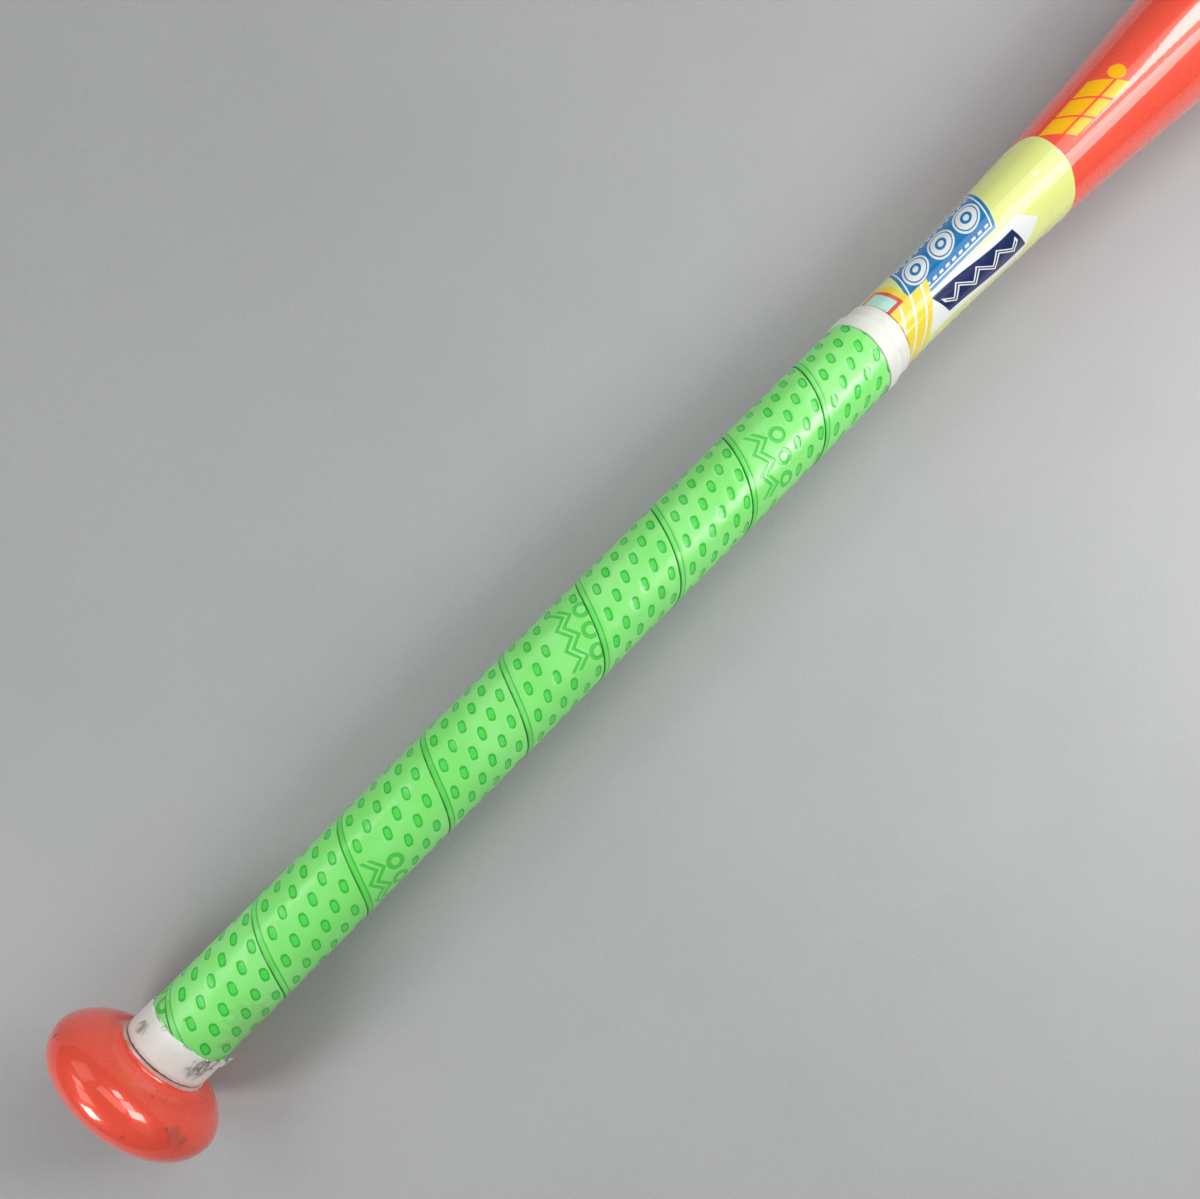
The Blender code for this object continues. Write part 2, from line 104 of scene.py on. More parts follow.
def arc(start: tuple[float, float], end: tuple[float, float], power: float = 2.0,
        bulge_first: bool = False, steps: int = 24) -> Profile:
    """A quarter of a superellipse in a profile.

    With t from 0 to a right angle, one coordinate runs as sin(t)^(2/power) and the other as
    1 - cos(t)^(2/power), so the curve leaves start along the axis and meets end square to it.

    Args:
        start: First (station, radius).
        end: Last (station, radius).
        power: 2 is an ellipse, a lower power is nearer a straight bevel.
        bulge_first: Leaves start square to the axis instead.
        steps: How many points the quarter has.

    Returns:
        The points, both ends among them.
    """
    t = np.linspace(0.0, math.pi / 2, steps)
    rise = np.sin(t) ** (2.0 / power)
    fall = 1.0 - np.cos(t) ** (2.0 / power)
    along, across = (fall, rise) if bulge_first else (rise, fall)
    return pairs(start[0] + (end[0] - start[0]) * along, start[1] + (end[1] - start[1]) * across)


def pairs(x: Array, r: Array) -> Profile:
    """Stations and radii as a profile's list of points."""
    return list(zip(x.tolist(), r.tolist()))


def wheel(x: Array, r: Array, angle: Array) -> Array:
    """Carries stations and radii round the axis: the point (x, r sin a, r cos a).

    Args:
        x: Stations, one per row or one per point.
        r: Radii, one per row or one per point.
        angle: Angles, one per column or one per point.

    Returns:
        Points as rows by columns by 3.
    """
    x, r, angle = np.broadcast_arrays(x, r, angle)
    return np.stack([x, r * np.sin(angle), r * np.cos(angle)], axis=-1)


@dataclass
class Surface:
    """Grids of points gathered into one closed mesh, with two sets of flat coordinates."""

    points: list[Array] = field(default_factory=list)
    flat: list[Array] = field(default_factory=list)
    faces: list[Array] = field(default_factory=list)
    count: int = 0

    def grid(self, points: Array, flat: Array | None = None, loop_rows: bool = False,
             loop_columns: bool = False) -> Array:
        """Adds a grid; a face's corners go row, next row, next column, so it faces rows x columns.

        Args:
            points: Rows by columns by 3.
            flat: Rows by columns by 4, both flat coordinates of each point.
            loop_rows: Joins the last row to the first.
            loop_columns: Joins the last column to the first.

        Returns:
            The points' numbers in the mesh, rows by columns.
        """
        rows, columns = points.shape[:2]
        index = self.count + np.arange(rows * columns).reshape(rows, columns)
        self.points.append(points.reshape(-1, 3))
        self.flat.append(np.zeros((rows * columns, 4)) if flat is None else flat.reshape(-1, 4))
        self.count += rows * columns
        wide = np.concatenate([index, index[:, :1]], axis=1) if loop_columns else index
        full = np.concatenate([wide, wide[:1]], axis=0) if loop_rows else wide
        quads = [full[:-1, :-1], full[1:, :-1], full[1:, 1:], full[:-1, 1:]]
        self.faces.extend(np.stack(quads, axis=-1).reshape(-1, 4))
        return index

    def pole(self, ring: Array, station: float, far: bool) -> None:
        """Closes a ring of points with a fan of triangles.

        Args:
            ring: The ring's point numbers, in the order of rising angle.
            station: Where on the axis the pole is.
            far: True where the fan faces away from the knob.
        """
        self.points.append(np.array([(station, 0.0, 0.0)]))
        self.flat.append(np.zeros((1, 4)))
        tip = np.full_like(ring, self.count)
        self.count += 1
        ahead = np.roll(ring, -1)
        self.faces.extend(np.stack([ring, tip, ahead] if far else [ring, ahead, tip], axis=-1))

    def revolve(self, profile: Profile, sides: int = SIDES) -> Surface:
        """Turns a profile about the axis.

        The profile runs away from the knob along the outside. It is a loop, or where both its
        ends are at radius 0 it is closed there by two poles.

        Args:
            profile: (station, radius) of its points.
            sides: Points in one ring.

        Returns:
            The surface itself.
        """
        solid = profile[0][1] == 0.0
        body = np.array(profile[1:-1] if solid else profile)
        angle = TURN * np.arange(sides) / sides
        points = wheel(body[:, :1], body[:, 1:], angle[None, :])
        index = self.grid(points, loop_rows=not solid, loop_columns=True)
        if solid:
            self.pole(index[0], profile[0][0], far=False)
            self.pole(index[-1], profile[-1][0], far=True)
        return self

    def sweep(self, loops: Array, flat: Array | None = None) -> None:
        """Adds a closed section carried along a path, with both of its ends filled.

        Args:
            loops: Rows by section points by 3; one row is one closed section.
            flat: Rows by section points by 4.
        """
        index = self.grid(loops, flat, loop_columns=True)
        self.faces += [index[0], index[-1][::-1]]

    def sleeve(self, x: Array, top: Array, under_x: Array, under: Array, angle: Array) -> Surface:
        """Adds a closed sleeve round the bat: its outside, then its inside going back.

        Args:
            x: Stations of the outside.
            top: Its radii.
            under_x: Stations of the inside, from the far edge back.
            under: Its radii.
            angle: Angles of the columns.

        Returns:
            The surface itself.
        """
        points = np.concatenate([wheel(x, top, angle), wheel(under_x, under, angle)], axis=0)
        self.grid(points, loop_rows=True, loop_columns=True)
        return self

    def mesh(self, name: str, sharp: float = 40.0) -> bpy.types.Mesh:
        """Makes the Blender mesh.

        Args:
            name: Its name.
            sharp: Angle in degrees above which its edges aren't smooth.

        Returns:
            The mesh, with its flat maps strip and edge.
        """
        points, flat = np.concatenate(self.points), np.concatenate(self.flat)
        made = bpy.data.meshes.new(name)
        made.from_pydata(points.tolist(), [], [face.tolist() for face in self.faces])
        corner = np.empty(len(made.loops), dtype=np.int32)
        made.loops.foreach_get("vertex_index", corner)
        for layer, columns in (("strip", slice(0, 2)), ("edge", slice(2, 4))):
            data = made.uv_layers.new(name=layer).data
            data.foreach_set("uv", flat[corner, columns].astype(np.float32).ravel())
        made.polygons.foreach_set("use_smooth", np.ones(len(made.polygons), dtype=bool))
        made.set_sharp_from_angle(angle=math.radians(sharp))
        made.update()
        return made


def show(mesh: bpy.types.Mesh, finish: Finish) -> bpy.types.Object:
    """Puts a mesh in the scene with its finish.

    Args:
        mesh: The mesh.
        finish: Its finish.

    Returns:
        The object, which has the mesh's name.
    """
    mesh.materials.append(finish.material())
    made = bpy.data.objects.new(mesh.name, mesh)
    bpy.context.scene.collection.objects.link(made)
    return made


def dress(surface: Surface, name: str, node: str, finish: Finish,
          sharp: float = 40.0) -> bpy.types.Object:
    """Makes a piece from a surface, in the place of its CAD node and with its finish.

    Args:
        surface: The piece's shape.
        name: The piece's name.
        node: The CAD node that it stands for.
        finish: Its finish.
        sharp: Angle in degrees above which its edges stay sharp.

    Returns:
        The piece.
    """
    piece = show(surface.mesh(name, sharp), finish)
    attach(piece, "root")
    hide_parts(node)
    return piece


# ---------------------------------------------------------------- finishes


class Term:
    """A value all over a surface, which is one output of a node. It takes Python's own sums."""

    def __init__(self, wiring: Wiring, socket: bpy.types.NodeSocket) -> None:
        """Holds the output and the wiring that it belongs to."""
        self.wiring, self.socket = wiring, socket

    def op(self, operation: str, *others: Value) -> Term:
        """A Math node's operation on this and on any others."""
        inputs = dict(enumerate((self, *others)))
        return self.wiring.node("ShaderNodeMath", inputs, operation=operation)

    def __add__(self, other: Value) -> Term:
        """The sum."""
        return self.op("ADD", other)

    def __sub__(self, other: Value) -> Term:
        """The difference."""
        return self.op("SUBTRACT", other)

    def __mul__(self, other: Value) -> Term:
        """The product, which is where shares hold together."""
        return self.op("MULTIPLY", other)

    def __truediv__(self, other: Value) -> Term:
        """The quotient."""
        return self.op("DIVIDE", other)

    def __pow__(self, power: float) -> Term:
        """This to a power."""
        return self.op("POWER", power)

    def __abs__(self) -> Term:
        """Its size without its sign."""
        return self.op("ABSOLUTE")

    def __and__(self, other: Value) -> Term:
        """The lesser of two."""
        return self.op("MINIMUM", other)

    def __or__(self, other: Value) -> Term:
        """The greater of two, which is where either share holds."""
        return self.op("MAXIMUM", other)

    __ror__ = __or__

    def fract(self) -> Term:
        """What it has over the whole number below it."""
        return self.op("FRACT")

    def step(self, start: float, end: float, low: float = 0.0, high: float = 1.0) -> Term:
        """A smooth step, from low where this is start to high where it is end."""
        inputs = {"Value": self, "From Min": start, "From Max": end, "To Min": low, "To Max": high}
        return self.wiring.node("ShaderNodeMapRange", inputs, interpolation_type="SMOOTHSTEP")

    def band(self, low: float, high: float, soft: float = 0.08) -> Term:
        """1 between low and high, with edges that are soft wide on each side."""
        return self.step(low - soft, low + soft) * self.step(high + soft, high - soft)

    def reach(self, other: Term) -> Term:
        """Distance of the point (this, other) from nought."""
        return (self * self + other * other) ** 0.5


class Wiring:
    """One material's nodes: a Principled shader and what feeds it."""

    def __init__(self, name: str) -> None:
        """Starts the material.

        Args:
            name: Its name.
        """
        self.material = bpy.data.materials.new(name)
        self.material.use_nodes = True
        self.tree = self.material.node_tree
        self.tree.nodes.clear()
        self.shader = self.tree.nodes.new("ShaderNodeBsdfPrincipled")
        self.output = self.tree.nodes.new("ShaderNodeOutputMaterial")
        self.tree.links.new(self.shader.outputs["BSDF"], self.output.inputs["Surface"])
        self.place = self.node("ShaderNodeTexCoord", {}, "Object")

    def node(self, kind: str, inputs: dict[str | int, Value | Ink], output: str | int = 0,
             **settings: str) -> Term:
        """Adds a node.

        Args:
            kind: Its type.
            inputs: What goes into it, by an input's name or number.
            output: The output to take.
            settings: Its properties.

        Returns:
            The output.
        """
        node = self.tree.nodes.new(kind)
        for key, value in settings.items():
            setattr(node, key, value)
        self.feed(node, inputs)
        return Term(self, node.outputs[output])

    def feed(self, node: bpy.types.Node, inputs: dict[str | int, Value | Ink]) -> None:
        """Links terms into a node's inputs, and writes plain values there.

        Args:
            node: The node.
            inputs: What goes into it, by an input's name or number.
        """
        for key, value in inputs.items():
            socket = node.inputs[key]
            if isinstance(value, Term):
                self.tree.links.new(value.socket, socket)
            else:
                socket.default_value = (*value, 1.0) if socket.type == "RGBA" else value

    def finish(self, **values: Value | Ink) -> None:
        """Sets the shader's own sockets; an underscore in a name stands for a space."""
        self.feed(self.shader, {key.replace("_", " "): value for key, value in values.items()})

    def layers(self, ground: Ink, *coats: tuple[Value, Ink]) -> Term:
        """Colours laid over each other.

        Args:
            ground: The colour below.
            coats: The share that each coat covers, and its colour.

        Returns:
            The colour on top.
        """
        for share, ink in coats:
            inputs = {0: share, 6: ground, 7: ink}
            ground = self.node("ShaderNodeMix", inputs, 2, data_type="RGBA")
        return ground

    def relief(self, *layers: tuple[Term, float]) -> Term:
        """Bumps laid on each other.

        Args:
            layers: Each bump's height, and the depth in metres that a height of 1 stands for.

        Returns:
            The surface's normal.
        """
        under: dict[str, Term] = {}
        for height, depth in layers:
            inputs = {"Height": height, "Distance": depth, "Strength": 1.0}
            under = {"Normal": self.node("ShaderNodeBump", inputs | under)}
        return under["Normal"]

    def split(self, source: Term) -> list[Term]:
        """The three parts of a place or a colour."""
        first = self.node("ShaderNodeSeparateXYZ", {0: source})
        return [Term(self, part) for part in first.socket.node.outputs]

    def polar(self) -> tuple[Term, Term]:
        """Station along the bat, and angle from the top towards +Y."""
        x, y, z = self.split(self.place)
        return x, y.op("ARCTAN2", z)

    def flat(self, layer: str) -> list[Term]:
        """The two coordinates of one of the mesh's flat maps."""
        return self.split(self.node("ShaderNodeUVMap", {}, uv_map=layer))[:2]

    def noise(self, scale: float, detail: float = 3.0, rough: float = 0.5, twist: float = 0.0,
              stretch: Point | None = None) -> Term:
        """Cloudy noise about 0.5.

        Args:
            scale: How many clouds there are in a metre.
            detail: How many finer layers it has.
            rough: How strong they are.
            twist: How far it is distorted.
            stretch: What the place is multiplied by first.

        Returns:
            The noise.
        """
        place = self.place
        if stretch:
            place = self.node("ShaderNodeMapping", {"Vector": place, "Scale": stretch})
        inputs = {"Vector": place, "Scale": scale, "Detail": detail, "Roughness": rough,
                  "Distortion": twist}
        return self.node("ShaderNodeTexNoise", inputs, "Fac")

    def cells(self, scale: float, output: str = "Distance") -> Term:
        """Random cells: the Distance from their middles, or a random Color for each."""
        return self.node("ShaderNodeTexVoronoi", {"Vector": self.place, "Scale": scale}, output)

    def stain(self, cover: Value, smudges: tuple[Smudge, ...], ragged: Term,
              held: Value = 1.0) -> Term:
        """Adds smudges to a cover: each is whole at its centre and fades out by its size.

        Args:
            cover: How much is covered before.
            smudges: The smudges.
            ragged: Noise that frays their edges.
            held: A share that thins them.

        Returns:
            The cover.
        """
        for smudge in smudges:
            inputs = {0: self.place, 1: smudge.centre}
            away = self.node("ShaderNodeVectorMath", inputs, "Value", operation="DISTANCE")
            frayed = (ragged - 0.5) * (smudge.size * 1.6) + away
            cover = cover | frayed.step(smudge.size, smudge.size * 0.25) * held * smudge.cover
        return cover


@dataclass(frozen=True)
class Smudge:
    """A dirty place: its centre, its reach, and how much of it covers."""

    centre: Point
    size: float
    cover: float


@dataclass(frozen=True)
class Finish:
    """A procedural finish; each kind paints its own."""

    name: str

    def paint(self, w: Wiring) -> None:
        """Lays the finish's colours, gloss and relief."""
        raise NotImplementedError

    def material(self) -> bpy.types.Material:
        """Builds the finish.

        Returns:
            The material.
        """
        wiring = Wiring(self.name)
        self.paint(wiring)
        return wiring.material


@dataclass(frozen=True)
class PearlEnamel(Finish):
    """Coral metal-flake enamel under a clear coat, with scuffs, dirt and worn rims."""

    colour: Colour = (0.93, 0.098, 0.055)
    deep: Colour = (0.68, 0.042, 0.022)
    glint: Colour = (1.0, 0.30, 0.18)
    primer: Colour = (0.80, 0.55, 0.50)
    dirt: Colour = (0.11, 0.075, 0.06)
    orange: Colour = (1.0, 0.50, 0.006)
    smudges: tuple[Smudge, ...] = ()
    worn_rim: tuple[float, float] | None = None
    blocks: bool = False
    specks: float = 0.03

    def paint(self, w: Wiring) -> None:
        """Coral with slow clouds of a deeper red, then fine flakes, then smudges and specks.

        The clear coat has its own fine unevenness, as sprayed.

        Args:
            w: The wiring to paint with.
        """
        x, angle = w.polar()
        red, green, _ = w.split(w.cells(6000.0, "Color"))
        colour = w.layers(self.colour,
                          (w.noise(55.0).step(0.35, 0.75, 0.0, 0.16), self.deep),
                          (red.step(0.62, 1.0, 0.0, 0.05), self.glint),
                          (green.step(0.60, 1.0, 0.0, 0.05), self.deep))
        if self.blocks:
            colour = w.layers(colour, (self.accent(w, x, angle), self.orange))
        if self.worn_rim:
            chip = x.band(*self.worn_rim, 0.00012) * w.noise(260.0).step(0.30, 0.48)
            colour = w.layers(colour, (chip, self.primer))
        patch = w.noise(48.0, 2.0).step(0.54, 0.66)
        cover = patch * w.noise(230.0, 3.0, 0.6).step(0.68, 0.76, 0.0, self.specks)
        cover = w.stain(cover, self.smudges, w.noise(420.0, 4.0, 0.6))
        rough = w.noise(900.0, 2.0).step(0.3, 0.7, 0.26, 0.34)
        w.finish(Base_Color=w.layers(colour, (cover, self.dirt)), Roughness=cover * 0.25 + rough,
                 Metallic=0.12, IOR=1.5, Specular_IOR_Level=0.08, Coat_Weight=1.0,
                 Coat_Roughness=0.055, Coat_IOR=1.5,
                 Normal=w.relief((w.noise(2600.0, 1.0), 0.000006)),
                 Coat_Normal=w.relief((w.noise(240.0, 2.0), 0.000016), (cover, 0.000004)))

    def accent(self, w: Wiring, x: Term, angle: Term) -> Term:
        """Three bold slanted blocks and a disc on the start of the barrel.

        A block is 7.8 mm of the slanted station x + 0.6 * arc less a narrow gap; a thin line
        splits the blocks lengthways, and the print is rubbed through in a few places.

        Args:
            w: The enamel's wiring.
            x: Station along the bat.
            angle: Angle from the top.

        Returns:
            1 on the print.
        """
        around = (angle - 0.30) * 0.0148
        slant = around * 0.60 + x
        bars = abs(around).step(0.00500, 0.00480) * slant.band(0.3800, 0.4030, 0.0001)
        bars = bars * ((slant - 0.3800) / 0.0078).fract().step(0.90, 0.88)
        bars = bars * abs(around + 0.0014).step(0.00028, 0.00036)
        disc = (x - 0.4058).reach(around).step(0.0026, 0.0024)
        return (bars | disc) * w.noise(900.0).step(0.74, 0.70)


@dataclass(frozen=True)
class OvalRows:
    """How ovals lie on the grip's strip, in millimetres, for its shape and its finish alike.

    The strip map counts ovals along the strip and columns across it, and each second column is
    shifted by half a count. An oval is a superellipse that leans a little across the strip.
    """

    along: float = 8.0
    across: float = 4.23
    half_length: float = 1.84
    half_width: float = 1.05
    lean: float = 0.07
    power: float = 2.8
    columns: int = 6
    # Where the strip is pressed with a mark instead of ovals: ovals passed, and column. The
    # ovals stay clear of it by so many counts or so many columns.
    marks: tuple[tuple[float, float], ...] = ((3.2, 4.4), (28.2, 0.9), (51.1, 4.3), (80.2, 0.9))
    clear: tuple[float, float] = (1.31, 1.81)


@dataclass(frozen=True)
class CushionedPolymer(Finish):
    """Green grip tape: sunk darker ovals with painted shade on their rims, an edge border and
    handling marks.

    The edge map holds the distance in millimetres from the strip's knob-side edge and from its
    other edge.
    """

    name: str = "cushioned_green_tape"
    colour: Colour = (0.235, 0.84, 0.180)
    pale: Colour = (0.34, 0.92, 0.29)
    oval: Colour = (0.084, 0.75, 0.084)
    # Painted shade: the rim colour darkens the ovals' walls, the pressed lines and the seams.
    rim: Colour = (0.024, 0.36, 0.038)
    # Painted shadow in the seam's gap, at both edges of the strip.
    seam_shadow: Colour = (0.006, 0.13, 0.014)
    dirt: Colour = (0.16, 0.18, 0.05)
    rows: OvalRows = OvalRows()
    smudges: tuple[Smudge, ...] = ()

    def paint(self, w: Wiring) -> None:
        """Green clouds, then the ovals, border, pressed marks, painted shadow in the seams, and
        grime.

        Args:
            w: The wiring to paint with.
        """
        reach, inside = self.oval_reach(w)
        pressed = self.pressed_marks(w)
        near, far = w.flat("edge")
        cloud = w.noise(60.0)
        # The seam lines below are painted shadow: one in the border's groove and one at each edge
        # of the strip, patchy along the seam.
        patchy = w.noise(170.0, 2.0).step(0.36, 0.62, 0.62, 1.0)
        line = near.band(1.50, 1.95, 0.16) * 0.66
        line = line | near.step(0.54, 0.10) * patchy | far.step(0.34, 0.04) * patchy
        cover = w.stain(w.noise(300.0, 4.0, 0.6).step(0.73, 0.80, 0.0, 0.45), self.smudges,
                        w.noise(520.0, 4.0, 0.6))
        cover = cover | near.step(2.4, 0.3) * w.noise(150.0).step(0.48, 0.72) * 0.22
        colour = w.layers(
            self.colour,
            (cloud.step(0.35, 0.7, 0.0, 0.55), self.pale),
            (reach.step(1.08, 0.98) * inside, self.oval),
            # Painted shade on the ovals' walls.
            (reach.band(0.74, 1.04, 0.14) * inside * 0.74, self.rim),
            (near.step(2.05, 1.75) * cloud.step(0.62, 0.40, 0.45, 1.0) * 0.80, self.oval),
            (pressed * 0.92, self.oval),
            # Painted shade along the pressed lines.
            (pressed.band(0.25, 0.75, 0.2) * 0.70 | pressed * 0.30, self.rim),
            # Painted shadow in the seams and the border's groove, darkest right at the strip's
            # edges.
            (line * 0.88, self.rim),
            ((near.step(0.22, 0.0) | far.step(0.14, 0.0)) * patchy * 0.75, self.seam_shadow),
            (cover, self.dirt))
        normal = w.relief((w.noise(420.0), 0.00005), (w.noise(3800.0, 2.0, 0.6), 0.000010),
                          (reach.step(0.80, 1.15) * inside, 0.00003),
                          (pressed * -1.0 + 1.0, 0.00007))
        w.finish(Base_Color=colour, Roughness=w.noise(130.0).step(0.3, 0.7, 0.28, 0.38), IOR=1.48,
                 Normal=normal, Subsurface_Weight=0.04, Subsurface_Radius=(0.4, 1.0, 0.3),
                 Subsurface_Scale=0.0006, Coat_Weight=0.30, Coat_Roughness=0.13, Coat_IOR=1.48,
                 Coat_Normal=normal)

    def pressed_marks(self, w: Wiring) -> Term:
        """Places on the strip where a double zigzag and rings are pressed in, not ovals.

        With p and q the millimetres along and across the strip from a mark's centre, the lines
        are where q is within 0.5 mm of 1.5 * tri(p / 6.4) - 3.4, of that plus 2.2, and of the
        rings of radius 1.9 about q = 3.6, one over each tooth.

        Args:
            w: The tape's wiring.

        Returns:
            1 on the pressed lines.
        """
        u, v = w.flat("strip")
        shares: list[Term] = []
        for count, column in self.rows.marks:
            p, q = (u - count) * self.rows.along, (v - column) * self.rows.across
            teeth = p / 6.4
            height = q - (abs((teeth + 8.0).fract() * 2.0 - 1.0) - 0.5) * 3.0
            ring = abs((((teeth + 7.5).fract() - 0.5) * 6.4).reach(q - 3.6) - 1.9)
            line = (abs(height + 3.4) & abs(height + 1.2) & ring).step(0.78, 0.24)
            shares.append(line * abs(p).step(9.7, 9.5) * abs(q).step(6.5, 6.3))
        return reduce(or_, shares)

    def oval_reach(self, w: Wiring) -> tuple[Term, Term]:
        """How far a point is from its oval's centre, as a share of the oval's half size.

        The reach is the root of (du/a)^power + (dv/b)^power, for the half length a and half
        width b, and a slow noise makes the ovals wander and swell a little.

        Args:
            w: The tape's wiring.

        Returns:
            The reach, and 1 within the columns and away from the pressed marks.
        """
        rows = self.rows
        u, v = w.flat("strip")
        column = v.op("ROUND")
        shift = abs(column.op("MODULO", 2.0)) * 0.5
        whole = (u - shift).op("ROUND")
        wander = (w.noise(700.0, 1.0) - 0.5) * 0.35
        du = (u - shift - whole) * rows.along + wander
        dv = (v - column) * rows.across + wander * 0.6
        long = abs(dv * rows.lean + du) / rows.half_length
        wide = abs(du * -rows.lean + dv) / rows.half_width
        reach = (long ** rows.power + wide ** rows.power) ** (1 / rows.power)
        inside = column.band(-0.5, rows.columns - 0.5, 0.1)
        for count, across in rows.marks:
            past = abs(whole + shift - count).step(rows.clear[0] - 0.01, rows.clear[0] + 0.01)
            aside = abs(column - across).step(rows.clear[1] - 0.01, rows.clear[1] + 0.01)
            inside = inside * (past | aside)
        return reach, inside


@dataclass(frozen=True)
class FinishingTape(Finish):
    """Off-white stretched vinyl tape with wrinkles, grime and dirty edges."""

    colour: Colour = (0.93, 0.97, 0.90)
    shade: Colour = (0.82, 0.86, 0.76)
    dirt: Colour = (0.17, 0.110, 0.068)
    rims: tuple[float, float] = (0.0192, 0.0284)
    grime: float = 0.5
    smudges: tuple[Smudge, ...] = ()

    def paint(self, w: Wiring) -> None:
        """Off-white clouds, dirt along both rims and in streaks, and smudges.

        Args:
            w: The wiring to paint with.
        """
        x, _ = w.polar()
        ragged = w.noise(600.0, 4.0, 0.62)
        streak = w.noise(900.0, 4.0, 0.65, stretch=(0.35, 1.0, 1.0))
        near, far = self.rims
        edge = x.step(near + 0.0006, near) | x.step(far - 0.0006, far)
        cover = edge * ragged.step(0.40, 0.62) * self.grime
        cover = cover | streak.step(0.66, 0.78, 0.0, 0.35 * self.grime)
        cover = w.stain(cover, self.smudges, ragged, streak.step(0.34, 0.52))
        colour = w.layers(self.colour, (w.noise(160.0, 4.0).step(0.4, 0.75, 0.0, 0.35), self.shade),
                          (cover, self.dirt))
        wrinkle = w.noise(380.0, 3.0, 0.5, 0.4, stretch=(0.5, 1.0, 1.0))
        weave = w.noise(2600.0, stretch=(1.0, 0.25, 0.25))
        w.finish(Base_Color=colour, Roughness=w.noise(210.0).step(0.3, 0.7, 0.36, 0.52), IOR=1.48,
                 Normal=w.relief((wrinkle, 0.00007), (weave, 0.000012)), Subsurface_Weight=0.05,
                 Subsurface_Radius=(1.0, 1.0, 0.8), Subsurface_Scale=0.0005, Coat_Weight=0.12,
                 Coat_Roughness=0.25)


@dataclass(frozen=True)
class PrintedFilm(Finish):
    """Glossy film with a plain geometric print: waves, rings, wedges and slanted stripes.

    The print is laid out on two lengths in millimetres: s from the film's start along the bat,
    and t round it, where t is 0 at the top. Each ink is a share from steps of s and t and lies
    over the inks before it.
    """

    name: str = "printed_film"
    start: float = 0.3046
    radius: float = 0.0124
    lime: Colour = (0.72, 0.78, 0.25)
    blue: Colour = (0.001, 0.180, 0.46)
    navy: Colour = (0.008, 0.018, 0.100)
    yellow: Colour = (0.82, 0.66, 0.045)
    white: Colour = (0.78, 0.80, 0.77)
    mint: Colour = (0.46, 0.80, 0.68)
    red: Colour = (0.72, 0.10, 0.05)
    grime: Colour = (0.25, 0.22, 0.16)
    flecks: tuple[Smudge, ...] = (Smudge((0.3661, 0.0002, 0.0128), 0.0011, 0.75),
                                  Smudge((0.3536, -0.0013, 0.0121), 0.0006, 0.75),
                                  Smudge((0.3354, 0.0044, 0.0107), 0.0004, 0.75))

    def paint(self, w: Wiring) -> None:
        """Lime, then the print's inks, then white flecks where it is rubbed, then grime.

        Args:
            w: The wiring to paint with.
        """
        x, angle = w.polar()
        wobble = (w.noise(500.0, 1.0) - 0.5) * 0.10
        s = (x - self.start) * 1000.0 + wobble
        t = angle * (self.radius * 1000.0)
        inks = [*self.wave_inks(s, t), *self.panel_inks(s, t), *self.corner_inks(s, t)]
        colour = w.layers(self.lime, *inks,
                          (w.noise(2400.0, 2.0).step(0.4, 0.8, 0.0, 0.02), self.white),
                          (w.stain(0.0, self.flecks, w.noise(900.0, 3.0, 0.6)), self.white),
                          (w.noise(260.0, 4.0, 0.62).step(0.70, 0.80, 0.0, 0.35), self.grime))
        ridge = w.noise(210.0, 2.0, stretch=(0.3, 1.0, 1.0))
        normal = w.relief((ridge, 0.00005), (w.noise(900.0, 2.0), 0.000012))
        w.finish(Base_Color=colour, Roughness=w.noise(180.0).step(0.3, 0.7, 0.24, 0.34), IOR=1.5,
                 Normal=normal, Coat_Weight=1.0, Coat_Roughness=0.11, Coat_IOR=1.5,
                 Coat_Normal=normal, Specular_IOR_Level=0.08)

    def wave_inks(self, s: Term, t: Term) -> list[tuple[Term, Colour]]:
        """A white wave along the bat, below the middle, with a navy bar and a zigzag in it.

        The wave's middle is t = -9.2 + 1.2 sin(s / 9). The zigzag's middle rises and falls by
        1.8 mm, straight, over each 8.25 mm, and it is a white line with a navy core.

        Args:
            s: Millimetres along the film.
            t: Millimetres round it.

        Returns:
            (share, ink) of each layer.
        """
        rise = t + 9.2 - (s / 9.0).op("SINE") * 1.2
        off = abs(rise)
        wave = off.step(6.2, 6.0) * s.step(9.0, 9.4) * (off * 1.1 + s).step(56.0, 55.6)
        lean = rise * 0.55 + s
        row = lean.band(15.0, 48.0) * off.step(4.1, 3.95)
        tooth = abs(((lean - 15.0) / 8.25).fract() * 2.0 - 1.0) - 0.5
        gap = abs(rise - tooth * 3.6)
        return [(wave, self.white), (row, self.navy),
                (gap.step(0.95, 0.82) * lean.band(16.2, 46.8) * row, self.white),
                (gap.step(0.38, 0.26) * lean.band(16.9, 46.1) * row, self.navy)]

    def panel_inks(self, s: Term, t: Term) -> list[tuple[Term, Colour]]:
        """A blue leaning panel above the middle, with a white frame, rings and ticks.

        Args:
            s: Millimetres along the film.
            t: Millimetres round it.

        Returns:
            (share, ink) of each layer.
        """
        lean = t * -0.45 + s
        inside = lean.band(8.0, 41.2, 0.07) * t.band(-1.1, 13.4, 0.07)
        out = ((((lean - 8.0) / 11.07).fract() - 0.5) * 11.07).reach(t - 6.6)
        bars = ((lean - 8.0) / 2.767).fract().band(0.22, 0.78, 0.04)
        ticks = bars * (t.band(12.2, 12.8, 0.06) | t.band(-0.6, 0.2, 0.06))
        return [(lean.band(6.4, 42.8) * t.band(-2.6, 14.9), self.blue),
                (lean.band(7.5, 41.7, 0.07) * t.band(-1.6, 13.9, 0.07), self.white),
                (inside, self.blue),
                (out.step(5.0, 4.86) * inside, self.white),
                (out.band(3.8, 4.25, 0.07) * inside, self.blue),
                (out.step(2.15, 2.02) * inside, self.blue),
                (out.step(1.15, 1.02) * inside, self.white),
                (ticks * inside, self.white)]

